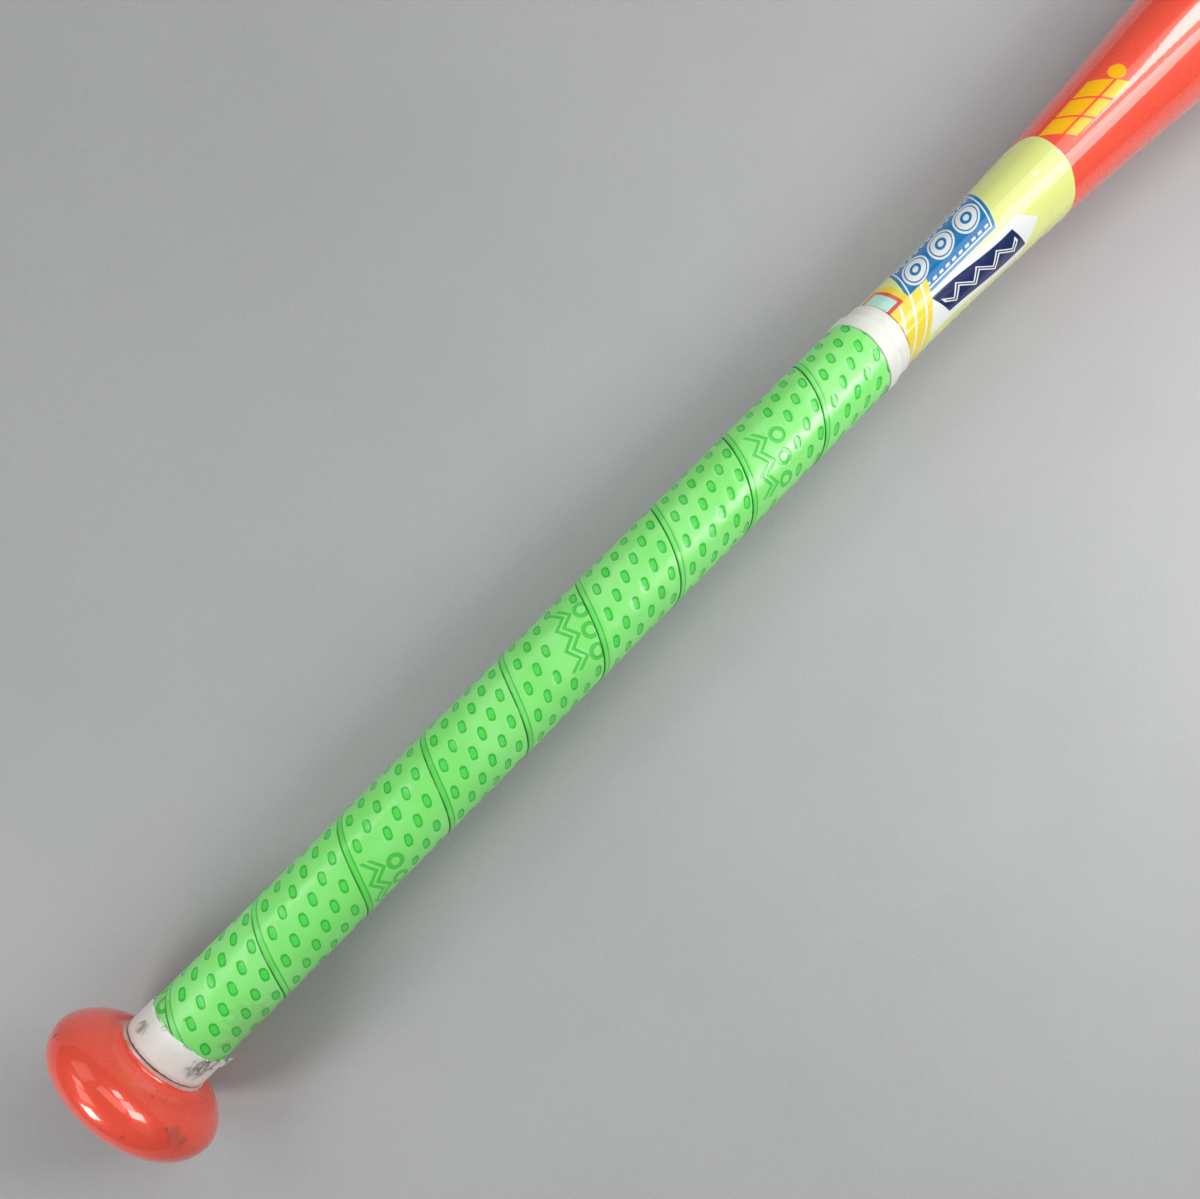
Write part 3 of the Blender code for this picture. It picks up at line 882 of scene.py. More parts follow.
    def corner_inks(self, s: Term, t: Term) -> list[tuple[Term, Colour]]:
        """Yellow with white slanted stripes by the tape, and a mint patch edged in red.

        Args:
            s: Millimetres along the film.
            t: Millimetres round it.

        Returns:
            (share, ink) of each layer.
        """
        slant = t * -0.5 + s
        below = t.step(1.6, 1.4)
        stripe = (slant / 4.6).fract().band(0.60, 0.78, 0.03) * slant.band(2.0, 14.9, 0.1)
        yellow = slant.step(15.0, 14.8) * below | s.step(8.1, 7.9) * t.band(1.4, 16.4)
        return [(yellow, self.yellow), (stripe * below, self.white),
                (s.step(5.9, 5.7) * t.band(1.5, 13.4), self.red),
                (s.step(4.6, 4.4) * t.band(2.8, 12.0), self.mint)]


@dataclass(frozen=True)
class MouldedPlastic(Finish):
    """Black moulded plastic with a fine spark-eroded grain, rubbed brighter on its rim."""

    name: str = "moulded_black"
    colour: Colour = (0.022, 0.022, 0.024)
    rubbed: Colour = (0.07, 0.07, 0.072)

    def paint(self, w: Wiring) -> None:
        """Black, rubbed along scratches on the rim and in a few places.

        Args:
            w: The wiring to paint with.
        """
        _, y, z = w.split(w.place)
        scratch = w.noise(700.0, 4.0, 0.7, stretch=(1.0, 1.0, 0.12))
        wear = y.reach(z).step(0.0175, 0.0208) * scratch.step(0.42, 0.62) * 0.7
        colour = w.layers(self.colour, (wear, self.rubbed),
                          (scratch.step(0.66, 0.76, 0.0, 0.5), self.rubbed))
        w.finish(Base_Color=colour, Roughness=w.noise(160.0).step(0.3, 0.7, 0.42, 0.60), IOR=1.49,
                 Normal=w.relief((w.cells(2600.0), 0.00004)))


@dataclass(frozen=True)
class StopperRubber(Finish):
    """Dark grey rubber with mould bloom and dust."""

    name: str = "stopper_rubber"
    colour: Colour = (0.045, 0.045, 0.048)
    dust: Colour = (0.16, 0.15, 0.14)

    def paint(self, w: Wiring) -> None:
        """Dark grey, dusty and duller where the bloom is.

        Args:
            w: The wiring to paint with.
        """
        bloom = w.noise(240.0, 4.0, 0.6)
        w.finish(Base_Color=w.layers(self.colour, (bloom.step(0.42, 0.78, 0.0, 0.6), self.dust)),
                 Roughness=bloom.step(0.3, 0.7, 0.66, 0.86), IOR=1.5,
                 Normal=w.relief((w.noise(3000.0, 3.0, 0.6), 0.00003)))


@dataclass(frozen=True)
class OpenCellFoam(Finish):
    """White foam: small open cells with painted shade in their mouths."""

    name: str = "open_cell_foam"
    colour: Colour = (0.75, 0.74, 0.70)
    # Painted shade for the cells' hollows.
    mouth: Colour = (0.36, 0.34, 0.30)

    def paint(self, w: Wiring) -> None:
        """White between the cells, with painted shade in them.

        Args:
            w: The wiring to paint with.
        """
        cells = w.cells(1500.0)
        # Painted shade in the cells' mouths.
        w.finish(Base_Color=w.layers(self.colour, (cells.step(0.42, 0.18) * 0.8, self.mouth)),
                 Roughness=w.noise(300.0, 2.0).step(0.3, 0.7, 0.86, 0.98), IOR=1.4,
                 Normal=w.relief((cells, 0.0003)), Sheen_Weight=0.2, Sheen_Roughness=0.6)


@dataclass(frozen=True)
class CuredAdhesive(Finish):
    """Amber adhesive with bubbles and a skin that has set unevenly."""

    name: str = "cured_adhesive"
    colour: Colour = (0.45, 0.27, 0.08)
    thick: Colour = (0.26, 0.13, 0.03)
    froth: Colour = (0.62, 0.48, 0.26)

    def paint(self, w: Wiring) -> None:
        """Amber, darker where it is thick, with pale bubbles.

        Args:
            w: The wiring to paint with.
        """
        flow = w.noise(180.0, 3.0, 0.5, 0.6)
        bubble = w.cells(800.0).step(0.24, 0.12)
        colour = w.layers(self.colour, (flow.step(0.35, 0.7), self.thick),
                          (bubble * 0.5, self.froth))
        w.finish(Base_Color=colour, Roughness=flow.step(0.3, 0.7, 0.24, 0.46), IOR=1.52,
                 Normal=w.relief((flow, 0.0002), (bubble, 0.00006)), Subsurface_Weight=0.2,
                 Subsurface_Radius=(1.0, 0.6, 0.2), Subsurface_Scale=0.001)


@dataclass(frozen=True)
class StudioFloor(Finish):
    """Plain pale grey floor: lit near the bat, and the backdrop's plain pale tone far off."""

    name: str = "studio_floor"
    colour: Colour = (0.430, 0.435, 0.440)
    grit: Colour = (0.34, 0.34, 0.34)
    far: Colour = (0.515, 0.520, 0.525)
    middle: float = 0.4318
    near_reach: float = 0.25
    far_reach: float = 0.41

    def paint(self, w: Wiring) -> None:
        """A faint mottle, and the far tone, seen by camera and glossy rays alone.

        The far tone grows with the distance from the bat's own length of axis, which is
        sqrt(max(|x - middle| - middle, 0)^2 + y^2).

        Args:
            w: The wiring to paint with.
        """
        mottle, grain = w.noise(9.0, 4.0, 0.6), w.noise(900.0, 3.0, 0.7)
        lower = tuple(part * 0.95 for part in self.colour)
        colour = w.layers(self.colour, (mottle.step(0.3, 0.7), lower),
                          (grain.step(0.35, 0.75, 0.0, 0.22), self.grit))
        w.finish(Base_Color=colour, Roughness=mottle.step(0.3, 0.7, 0.70, 0.80), IOR=1.4,
                 Normal=w.relief((grain, 0.00012)))
        x, y, _ = w.split(w.place)
        away = (abs(x - self.middle) - self.middle | 0.0).reach(y)
        camera, glossy = (w.node("ShaderNodeLightPath", {}, f"Is {ray} Ray")
                          for ray in ("Camera", "Glossy"))
        share = away.step(self.near_reach, self.far_reach) * (camera | glossy)
        glow = w.node("ShaderNodeEmission", {"Color": self.far})
        lit = Term(w, w.shader.outputs["BSDF"])
        w.feed(w.output, {"Surface": w.node("ShaderNodeMixShader", {0: share, 1: lit, 2: glow})})


# ---------------------------------------------------------------- pieces


@dataclass
class BatLine:
    """The shell's outer line and ends, which the pieces on it share."""

    length: float = 0.8636
    handle: float = 0.0111
    barrel: float = 0.028575
    taper_start: float = 0.314
    taper_end: float = 0.604
    handle_wall: float = 0.0026
    barrel_wall: float = 0.0022
    fit: float = 0.0003
    shell_end: float = 0.8601
    end_round: float = 0.0070
    lip: float = 0.0021

    def share(self, x: Array | float) -> Array:
        """How far a station is through the taper, from 0 to 1."""
        through = (np.asarray(x) - self.taper_start) / (self.taper_end - self.taper_start)
        return np.clip(through, 0.0, 1.0)

    def radius(self, x: Array | float) -> Array:
        """Outer radius: handle + (barrel - handle) * (3u^2 - 2u^3)."""
        u = self.share(x)
        return self.handle + (self.barrel - self.handle) * (3 * u**2 - 2 * u**3)

    def wall(self, x: Array | float) -> Array:
        """Wall, which thins evenly through the taper."""
        return self.handle_wall + (self.barrel_wall - self.handle_wall) * self.share(x)

    def shoulder(self) -> float:
        """Radius at which the rolled-in end turns flat."""
        return self.barrel - self.end_round

    def mouth(self) -> float:
        """Radius of the barrel's open end."""
        return self.shoulder() - self.lip


@dataclass
class Shell:
    """The tube: handle, taper, barrel and the rolled-in lip."""

    line: BatLine
    start: float = 0.0025

    def build(self) -> bpy.types.Object:
        """Turns the tube and enamels it.

        Returns:
            The piece.
        """
        line, end = self.line, self.line.shell_end
        turn_in, shoulder, mouth = end - line.end_round, line.shoulder(), line.mouth()
        x = np.concatenate([[self.start], np.linspace(0.300, 0.620, 120), [0.700, 0.780, turn_in]])
        outside = pairs(x, line.radius(x)) + arc((turn_in, line.barrel), (end, shoulder))[1:]
        outside += [(end, mouth + 0.0004), (end - 0.0004, mouth)]
        inner_end = end - line.barrel_wall
        inside = [(inner_end, mouth)]
        inside += arc((inner_end, shoulder), (turn_in, line.barrel - line.barrel_wall),
                      bulge_first=True)
        inside += pairs(x[-2::-1], (line.radius(x) - line.wall(x))[-2::-1])
        return dress(Surface().revolve(outside + inside), "bat_tube", "bat_shell",
                     PearlEnamel("coral_enamel_shell", blocks=True), 34.0)


@dataclass
class Knob:
    """The turned, bored and welded-on knob."""

    line: BatLine
    radius: float = 0.0254
    face_land: float = 0.0012
    front_depth: float = 0.0092
    front_power: float = 2.1
    back_depth: float = 0.0077
    back_power: float = 1.76
    fillet_length: float = 0.0020
    fillet_rise: float = 0.0028
    neck_wall: float = 0.0015
    smudges: tuple[Smudge, ...] = (
        Smudge((0.0128, -0.0180, 0.0158), 0.0036, 0.34),
        Smudge((0.0120, -0.0205, 0.0133), 0.0022, 0.40),
        Smudge((0.0132, -0.0158, 0.0174), 0.0008, 0.75),
        Smudge((0.0163, -0.0075, 0.0173), 0.0007, 0.80),
        Smudge((0.0094, 0.0206, 0.0148), 0.0010, 0.75),
        Smudge((0.0073, -0.0099, 0.0231), 0.0007, 0.50),
    )

    def build(self) -> bpy.types.Object:
        """Turns the knob and enamels it.

        Returns:
            The piece.
        """
        bore = self.line.handle + self.line.fit
        neck = bore + self.neck_wall
        root = (self.front_depth + self.back_depth, neck + self.fillet_rise)
        end = root[0] + self.fillet_length
        crest = (self.front_depth, self.radius)
        front = arc(crest, (0.0, bore + self.face_land), self.front_power)
        rear = arc(root, crest, self.back_power, bulge_first=True)
        fillet = arc((end, neck), root, steps=12)
        outside = [(0.0, bore + 0.0003), *front[::-1], *rear[::-1][1:], *fillet[::-1][1:],
                   (end, bore + 0.0002), (end - 0.0002, bore), (0.0003, bore)]
        finish = PearlEnamel("coral_enamel_knob", worn_rim=(end - 0.0005, end + 0.0002),
                             smudges=self.smudges)
        return dress(Surface().revolve(outside, 256), "knob_body", "knob", finish, 34.0)


@dataclass
class KnobStopper:
    """The ribbed rubber stopper in the handle's bore."""

    line: BatLine
    head: float = 0.0022
    stem: float = 0.0150
    ribs: int = 3
    rib_rise: float = 0.0007
    rib_width: float = 0.0012
    wall: float = 0.0030
    dimple: float = 0.0025

    def build(self) -> bpy.types.Object:
        """Turns the stopper: a dished flush head and a hollow, ribbed stem.

        Returns:
            The piece.
        """
        rim, crest = self.line.handle, self.line.handle - self.line.handle_wall - self.line.fit
        root, end = crest - self.rib_rise, self.head + self.stem
        outside = [(0.0004, 0.0), (0.0003, self.dimple), (0.0, self.dimple + 0.0008)]
        outside += arc((0.0, rim - 0.0005), (0.0005, rim), bulge_first=True, steps=6)
        outside += [(self.head, rim), (self.head, root)]
        for i in range(1, self.ribs + 1):
            top = self.head + i * self.stem / (self.ribs + 1)
            outside += [(top - 0.0001, root), (top, crest - 0.0001), (top + 0.0001, crest),
                        (top + self.rib_width, root)]
        outside += [(end - 0.0003, root), (end, root - 0.0003), (end, root - self.wall),
                    (self.head, root - self.wall), (self.head, 0.0)]
        return dress(Surface().revolve(outside), "knob_stopper", "knob_plug",
                     StopperRubber())


@dataclass
class FoamStopper:
    """The foam that keeps loose bits in the barrel quiet."""

    line: BatLine
    start: float = 0.262
    length: float = 0.036
    chamfer: float = 0.0010
    crown: float = 0.0004
    swell: float = 0.00015

    def build(self) -> bpy.types.Object:
        """Makes the foam: a cylinder with rounded ends, crowned and pressed by the bore.

        The ends bulge by the crown as cos of the radius share, and the side swells in the
        middle to the bore's radius as sin of the length share.

        Returns:
            The piece.
        """
        radius = self.line.handle - self.line.handle_wall - self.line.fit
        face, inset = radius - self.chamfer, self.crown + self.chamfer
        share = np.linspace(0.0, 1.0, 12)[:-1]
        near = pairs(self.start + self.crown * (1.0 - np.cos(share * math.pi / 2)), face * share)
        side = np.linspace(0.0, 1.0, 16)
        side_x = self.start + inset + (self.length - 2 * inset) * side
        side_r = radius - self.swell + self.swell * np.sin(side * math.pi)
        near += arc((self.start + self.crown, face), (side_x[0], side_r[0]), bulge_first=True,
                    steps=6)
        far = [(2 * self.start + self.length - x, r) for x, r in near[::-1]]
        profile = near + pairs(side_x, side_r)[1:-1] + far
        piece = dress(Surface().revolve(profile, 96), "foam_stopper", "handle_foam_plug",
                      OpenCellFoam())
        return piece


@dataclass
class WoundGrip:
    """One strip of cushioned tape wound left-handed about the handle, with its sunk ovals."""

    line: BatLine
    thickness: float = 0.00075
    pitch: float = 0.0304
    gap: float = 0.00006
    seam_at_top: float = 0.0588
    start: float = 0.0192
    end: float = 0.2982
    squeeze: float = 0.0003
    tape_edges: tuple[float, float] = (0.0284, 0.2946)
    border: float = 0.00172
    oval_depth: float = 0.00014
    edge_drop: float = 0.00019
    edge_width: float = 0.00034
    # For each turn whose seam passes the top: how far the seam strays from an even pitch, where
    # the first column of ovals lies, how many ovals have passed and how many pass in one turn.
    seam_stray: tuple[float, ...] = (0.3, 0.4, -0.5, -0.4, 0.2, 1.0, 0.8, 0.6, 0.9, 0.0, 0.0, 0.0)
    first_column: tuple[float, ...] = (4.9, 4.9, 4.83, 3.96, 4.22, 4.86, 5.45, 5.32, 5.26, 5.42,
                                       4.46, 4.46)
    passed: tuple[float, ...] = (-9.6, 0.50, 10.543, 20.363, 30.293, 40.402, 50.588, 60.727,
                                 70.873, 81.036, 91.105, 101.2)
    rate: tuple[float, ...] = (10.0, 10.0, 10.0, 10.07, 10.28, 10.41, 10.55, 10.39, 10.56, 10.56,
                               10.41, 10.3)
    ovals: OvalRows = OvalRows()
    # The radius in millimetres on which the strip is laid flat.
    flat_radius: float = 12.15
    groove_depth: float = 0.00011
    groove_width: float = 0.00030
    raised: float = 0.00010
    settled: float = 0.00007
    rows: int = 1400
    columns: int = 62
    smudges: tuple[Smudge, ...] = (
        Smudge((0.0420, -0.0110, 0.0052), 0.0100, 0.20),
        Smudge((0.0330, -0.0100, 0.0070), 0.0016, 0.30),
        Smudge((0.0329, 0.0011, 0.0121), 0.0005, 0.60),
        Smudge((0.2010, -0.0090, 0.0082), 0.0018, 0.20),
    )

    def between(self, turn: Array, count: int) -> tuple[Array, Array]:
        """Finds turns in a table whose entry 0 is turn -1.

        Args:
            turn: The turns.
            count: How many entries the table has.

        Returns:
            The entry before each turn, and how far the turn is from it to the next.
        """
        at = np.clip(turn + 1.0, 0.0, count - 1.001)
        low = np.floor(at).astype(int)
        return low, at - low

    def read(self, table: tuple[float, ...], turn: Array) -> Array:
        """Reads a table between its turns with an easing step.

        Args:
            table: Its entries.
            turn: The turns.

        Returns:
            The values.
        """
        values = np.array(table)
        low, share = self.between(turn, len(values))
        share = soft_step(share, 0.0, 1.0)
        return values[low] * (1.0 - share) + values[low + 1] * share

    def ovals_passed(self, turn: Array) -> Array:
        """Ovals counted along the strip: a cubic through the counts with each turn's own rate.

        Args:
            turn: The turns.

        Returns:
            The counts.
        """
        count, rate = np.array(self.passed), np.array(self.rate)
        low, t = self.between(turn, len(count))
        return (count[low] * (2 * t**3 - 3 * t**2 + 1) + rate[low] * (t**3 - 2 * t**2 + t)
                + count[low + 1] * (3 * t**2 - 2 * t**3) + rate[low + 1] * (t**3 - t**2))

    def lattice(self, x: Array, angle: Array) -> tuple[Array, Array]:
        """Oval count along the strip and column number across it, for points of the strip.

        With the strip laid flat, the length along it is x * p / L + r * a * c / L and the
        distance across it is x * c / L - r * a * p / L, for pitch p, circumference c and
        L = sqrt(p^2 + c^2).

        Args:
            x: Stations.
            angle: Unwound angle, 0 where the seam passes the top at its first turn in view.

        Returns:
            Both coordinates.
        """
        radius, pitch = self.flat_radius, self.pitch * 1000
        around = TURN * radius
        length = math.hypot(pitch, around)
        unwound = angle + 2 * TURN
        station = x * 1000 - (self.seam_at_top * 1000 - 2 * pitch)
        along = (station * pitch + radius * unwound * around) / length
        across = (station * around - radius * unwound * pitch) / length
        turn = (along - 5.5) / length
        column = (across - self.read(self.first_column, turn)) / self.ovals.across
        return self.ovals_passed(turn) + 0.013 * column, column

    def sink(self, count: Array, column: Array) -> Array:
        """How deep the ovals are: an oval's floor is flat and its wall is a soft step.

        Args:
            count: Ovals counted along the strip.
            column: Columns across it.

        Returns:
            The depth at each point, from 0 to 1.
        """
        rows, whole = self.ovals, np.round(column)
        shift = 0.5 * np.mod(whole, 2.0)
        nearest = np.round(count - shift)
        du, dv = (count - shift - nearest) * rows.along, (column - whole) * rows.across
        long = np.abs((du + rows.lean * dv) / rows.half_length) ** rows.power
        wide = np.abs((dv - rows.lean * du) / rows.half_width) ** rows.power
        reach = (long + wide) ** (1 / rows.power)
        inside = (whole > -0.5) & (whole < rows.columns - 0.5)
        for at_count, at_column in rows.marks:
            inside &= ((np.abs(nearest + shift - at_count) > rows.clear[0])
                       | (np.abs(whole - at_column) > rows.clear[1]))
        return soft_step(reach, 1.26, 0.74) * inside

    def rounded(self, inwards: Array) -> Array:
        """How far an edge is rounded down, at distances inwards from it: a quarter circle."""
        out = 1.0 - np.clip(inwards / self.edge_width, 0, 1)
        return self.edge_drop * (1.0 - np.sqrt(np.clip(1.0 - out**2, 0, 1)))

    def top(self, x: Array, seam: Array, near: Array, far: Array, sunk: Array) -> Array:
        """Radius of the strip's top.

        It stands at the inner radius plus the thickness, rounded down at both edges, sunk in
        the ovals and the border's groove, and squeezed under the white tapes. The knob-side
        edge lies a little proud, as it was wound over the turn before it, and the other edge
        lies a little low.

        Args:
            x: Stations.
            seam: Station of the seam on the knob's side, before the strip is cut.
            near: Station of the strip's own edge there.
            far: Station of its other edge.
            sunk: How deep the ovals are, from 0 to 1.

        Returns:
            The radius at each point.
        """
        outer = self.line.handle + self.line.fit + self.thickness
        groove = np.exp(-(((x - seam) - self.border) / self.groove_width) ** 2)
        raised = self.raised * (1.0 - soft_step(x - near, 0.0014, 0.0085))
        settled = self.settled * (1.0 - soft_step(far - x, 0.0, 0.0042))
        top = (outer - self.rounded(x - near) - self.rounded(far - x)
               - self.groove_depth * groove - self.oval_depth * sunk + raised - settled)
        first, last = self.tape_edges
        under = np.maximum(soft_step(x, first - 0.0006, first - 0.0012),
                           soft_step(x, last + 0.0008, last + 0.0014))
        return top * (1.0 - under) + np.minimum(top, outer - self.squeeze - 0.00005) * under

    def build(self) -> bpy.types.Object:
        """Winds the strip.

        A row of points goes across the strip at one unwound angle, from its knob-side edge at
        seam + pitch * angle / turn. Each row is cut to the grip's two ends.

        Returns:
            The piece.
        """
        width = self.pitch - self.gap
        first = TURN * (self.start - self.seam_at_top - width + 0.0002) / self.pitch
        last = TURN * (self.end - self.seam_at_top - 0.0002) / self.pitch
        angle = np.linspace(first, last, self.rows)[:, None]
        turn = angle / TURN + 2.0
        even = self.seam_at_top + self.pitch * angle / TURN
        seam = even + self.gap / 2 + 0.001 * self.read(self.seam_stray, turn)
        after = even + self.pitch - self.gap / 2 + 0.001 * self.read(self.seam_stray, turn + 1.0)
        near = np.clip(seam, self.start, self.end - 0.00005)
        far = np.maximum(np.clip(after, self.start + 0.00005, self.end), near + 0.00005)
        edge = np.array([0.0, 0.0006, 0.0022, 0.0050, 0.0090])
        inside = np.concatenate([edge, np.linspace(0.0135, 0.9865, self.columns - 10),
                                 1.0 - edge[::-1]])[None, :]
        x = near + (far - near) * inside
        count, column = self.lattice(x, angle)
        top = self.top(x, seam, near, far, self.sink(count, column))
        flat = np.stack([count, column, (x - seam) * 1000, (after - x) * 1000], axis=-1)
        inner = np.full((self.rows, 2), self.line.handle + self.line.fit)
        base = wheel(np.concatenate([far, near], axis=1), inner, angle)
        surface = Surface()
        surface.sweep(np.concatenate([wheel(x, top, angle), base], axis=1)[:, ::-1],
                      np.concatenate([flat, flat[:, [-1, 0]]], axis=1)[:, ::-1])
        finish = CushionedPolymer(rows=self.ovals, smudges=self.smudges)
        return dress(surface, "wound_grip", "grip_tape", finish, 55.0)


@dataclass
class TapeBand:
    """A lapped band of white finishing tape over the grip's end."""

    name: str
    node: str
    near: float
    far: float
    near_edge: Waves
    far_edge: Waves
    thickness: float = 0.00059
    step: float = 0.0001
    round_drop: float = 0.00016
    wrinkles: Waves = ((9, 0.00003, 0.4), (17, 0.00002, 2.0))
    stations: int = 26

    def foot(self, x: Array) -> Array:
        """Radius of what the tape lies on."""
        raise NotImplementedError

    def lap(self, share: Array, angle: Array) -> Array:
        """How much the tape's own laps raise its top."""
        raise NotImplementedError

    def band(self) -> Surface:
        """Lays the band: a closed section round the bat whose two edges wander.

        The top is foot + thickness + laps + wrinkles, where a wrinkle is a low wave round the
        bat that grows towards the middle. Both edges are rounded down.

        Returns:
            The surface.
        """
        angle = (TURN * np.arange(SIDES) / SIDES)[None, :]
        near = self.near + np.abs(ripple(angle, self.near_edge))
        far = self.far - np.abs(ripple(angle, self.far_edge))
        share = np.concatenate([[0.0, 0.006, 0.016], np.linspace(0.04, 0.96, self.stations),
                                [0.984, 0.994, 1.0]])[:, None]
        x = near + (far - near) * share
        edges = 2.0 - soft_step(share, -0.012, 0.018) - soft_step(1.0 - share, -0.012, 0.018)
        rise = self.thickness + self.lap(share, angle) - self.round_drop * edges
        wrinkle = ripple(angle + 40.0 * (x - self.near), self.wrinkles)
        rise = rise + wrinkle * np.sin(share * math.pi)
        under_x = x[::-3]
        return Surface().sleeve(x, self.foot(x) + rise, under_x, self.foot(under_x), angle)


@dataclass
class KnobBand(TapeBand):
    """The band against the knob, with a lap that ends in a lifted tongue."""

    rest: float = 0.01186
    tongue_root: float = -70.0
    tongue_turn: float = 24.0
    tongue_width: float = 0.0040
    tongue_lift: float = 0.0011
    tongue_lean: float = 0.0026
    tongue_sheet: float = 0.00014
    smudges: tuple[Smudge, ...] = (
        Smudge((0.0233, 0.0078, 0.0097), 0.0026, 0.62),
        Smudge((0.0246, -0.0099, 0.0075), 0.0040, 0.80),
        Smudge((0.0270, -0.0106, 0.0064), 0.0042, 0.90),
        Smudge((0.0278, 0.0032, 0.0120), 0.0010, 0.70),
    )

    def foot(self, x: Array) -> Array:
        """The squeezed grip, which is one radius."""
        return np.full_like(x, self.rest)

    def lap(self, share: Array, angle: Array) -> Array:
        """A second lap from the knob-side rim on, and a third over 225 degrees.

        Args:
            share: How far across the band each row is.
            angle: Angle of each column.

        Returns:
            The rise of the top.
        """
        wound = np.mod(angle + math.pi * 0.55, TURN)
        third = soft_step(wound, 0.0, 0.02) * soft_step(wound, 3.93, 3.90)
        third = third * soft_step(share, 0.075, 0.095) * soft_step(share, 1.0, 0.985)
        return self.step * (soft_step(share, 0.055, 0.075) - 1.0 + third)

    def tongue(self, surface: Surface) -> None:
        """Adds the lap's loose end: a small sheet that leaves the band and curls away.

        With s from 0 at its root to 1 at its tip, it goes round the bat by 24 degrees, lifts
        by 1.1 mm * s^1.8 and leans over the grip by 2.6 mm * s.

        Args:
            surface: The band's surface.
        """
        s = np.linspace(0.0, 1.0, 22)[:, None]
        v = np.linspace(0.0, 1.0, 9)[None, :]
        angle = math.radians(self.tongue_root) - math.radians(self.tongue_turn) * s
        width = self.tongue_width * (1.0 - 0.45 * s**2)
        edge = self.far - 0.0034 + self.tongue_lean * s
        x = edge + width * v + 0.0002 * np.sin(5.0 * s + 3.0 * v)
        lift = 0.00012 + self.tongue_lift * s**1.8 * (0.55 + 0.45 * v)
        lower = self.rest + self.thickness + lift
        sheet = [wheel(x, lower + self.tongue_sheet, angle), wheel(x, lower, angle)[:, ::-1]]
        surface.sweep(np.concatenate(sheet, axis=1))

    def build(self) -> bpy.types.Object:
        """Lays the band and its tongue.

        Returns:
            The piece.
        """
        surface = self.band()
        self.tongue(surface)
        finish = FinishingTape("white_tape_knob", rims=(self.near, self.far), grime=0.85,
                               smudges=self.smudges)
        return dress(surface, self.name, self.node, finish, 60.0)


@dataclass
class TopBand(TapeBand):
    """The band at the grip's far end: over the grip, down a ramp and on to the bare handle."""

    over: float = 0.01186
    bare: float = 0.01111
    ramp: tuple[float, float] = (0.2984, 0.2999)
    second: float = 0.3020

    def foot(self, x: Array) -> Array:
        """The squeezed grip, then a soft step down to the handle."""
        return self.over + (self.bare - self.over) * soft_step(x, *self.ramp)

    def lap(self, share: Array, angle: Array) -> Array:
        """The last lap stops short of the far edge, along a slightly slanted line."""
        stop = (self.second - self.near) / (self.far - self.near) + 0.02 * np.sin(angle + 0.6)
        return -self.step * soft_step(share, stop - 0.012, stop + 0.012)

    def build(self) -> bpy.types.Object:
        """Lays the band.

        Returns:
            The piece.
        """
        finish = FinishingTape("white_tape_top", colour=(0.77, 0.785, 0.71),
                               rims=(self.near, self.far), grime=0.16)
        return dress(self.band(), self.name, self.node, finish, 60.0)


@dataclass
class FilmSleeve:
    """The printed film round the start of the taper."""

    line: BatLine
    start: float = 0.3046
    clearance: float = 0.0001
    thickness: float = 0.0001
    # Where the film ends, in millimetres, at angles in degrees from the top towards +Y.
    edge_angle: tuple[float, ...] = (-180, -120, -90, -60, -30, 0, 20, 40, 52, 60, 67, 75, 90, 120,
                                     180)
    edge_at: tuple[float, ...] = (373, 375.2, 376.0, 376.0, 376.1, 376.3, 376.6, 376.9, 376.6,
                                  375.6, 373.6, 372.0, 371.0, 371.2, 373)

    def build(self) -> bpy.types.Object:
        """Lays the film: a thin closed sleeve on the shell's line whose far edge wanders.

        Returns:
            The piece.
        """
        angle = (TURN * (np.arange(SIDES) / SIDES - 0.5))[None, :]
        end = np.interp(np.degrees(angle), self.edge_angle, self.edge_at) / 1000
        end = end - 0.0002 * (1 + np.sin(7 * angle + 0.5)) * 0.5
        share = np.concatenate([np.linspace(0.0, 0.985, 70), [0.993, 0.998, 1.0]])[:, None]
        x = self.start + (end - self.start) * share
        under = self.line.radius(x) + self.clearance
        top = under + self.thickness * (1.0 - 0.6 * soft_step(share, 0.996, 1.0))
        surface = Surface().sleeve(x, top, x[::-2], under[::-2], angle)
        return dress(surface, "film_sleeve", "decal_film", PrintedFilm(), 60.0)


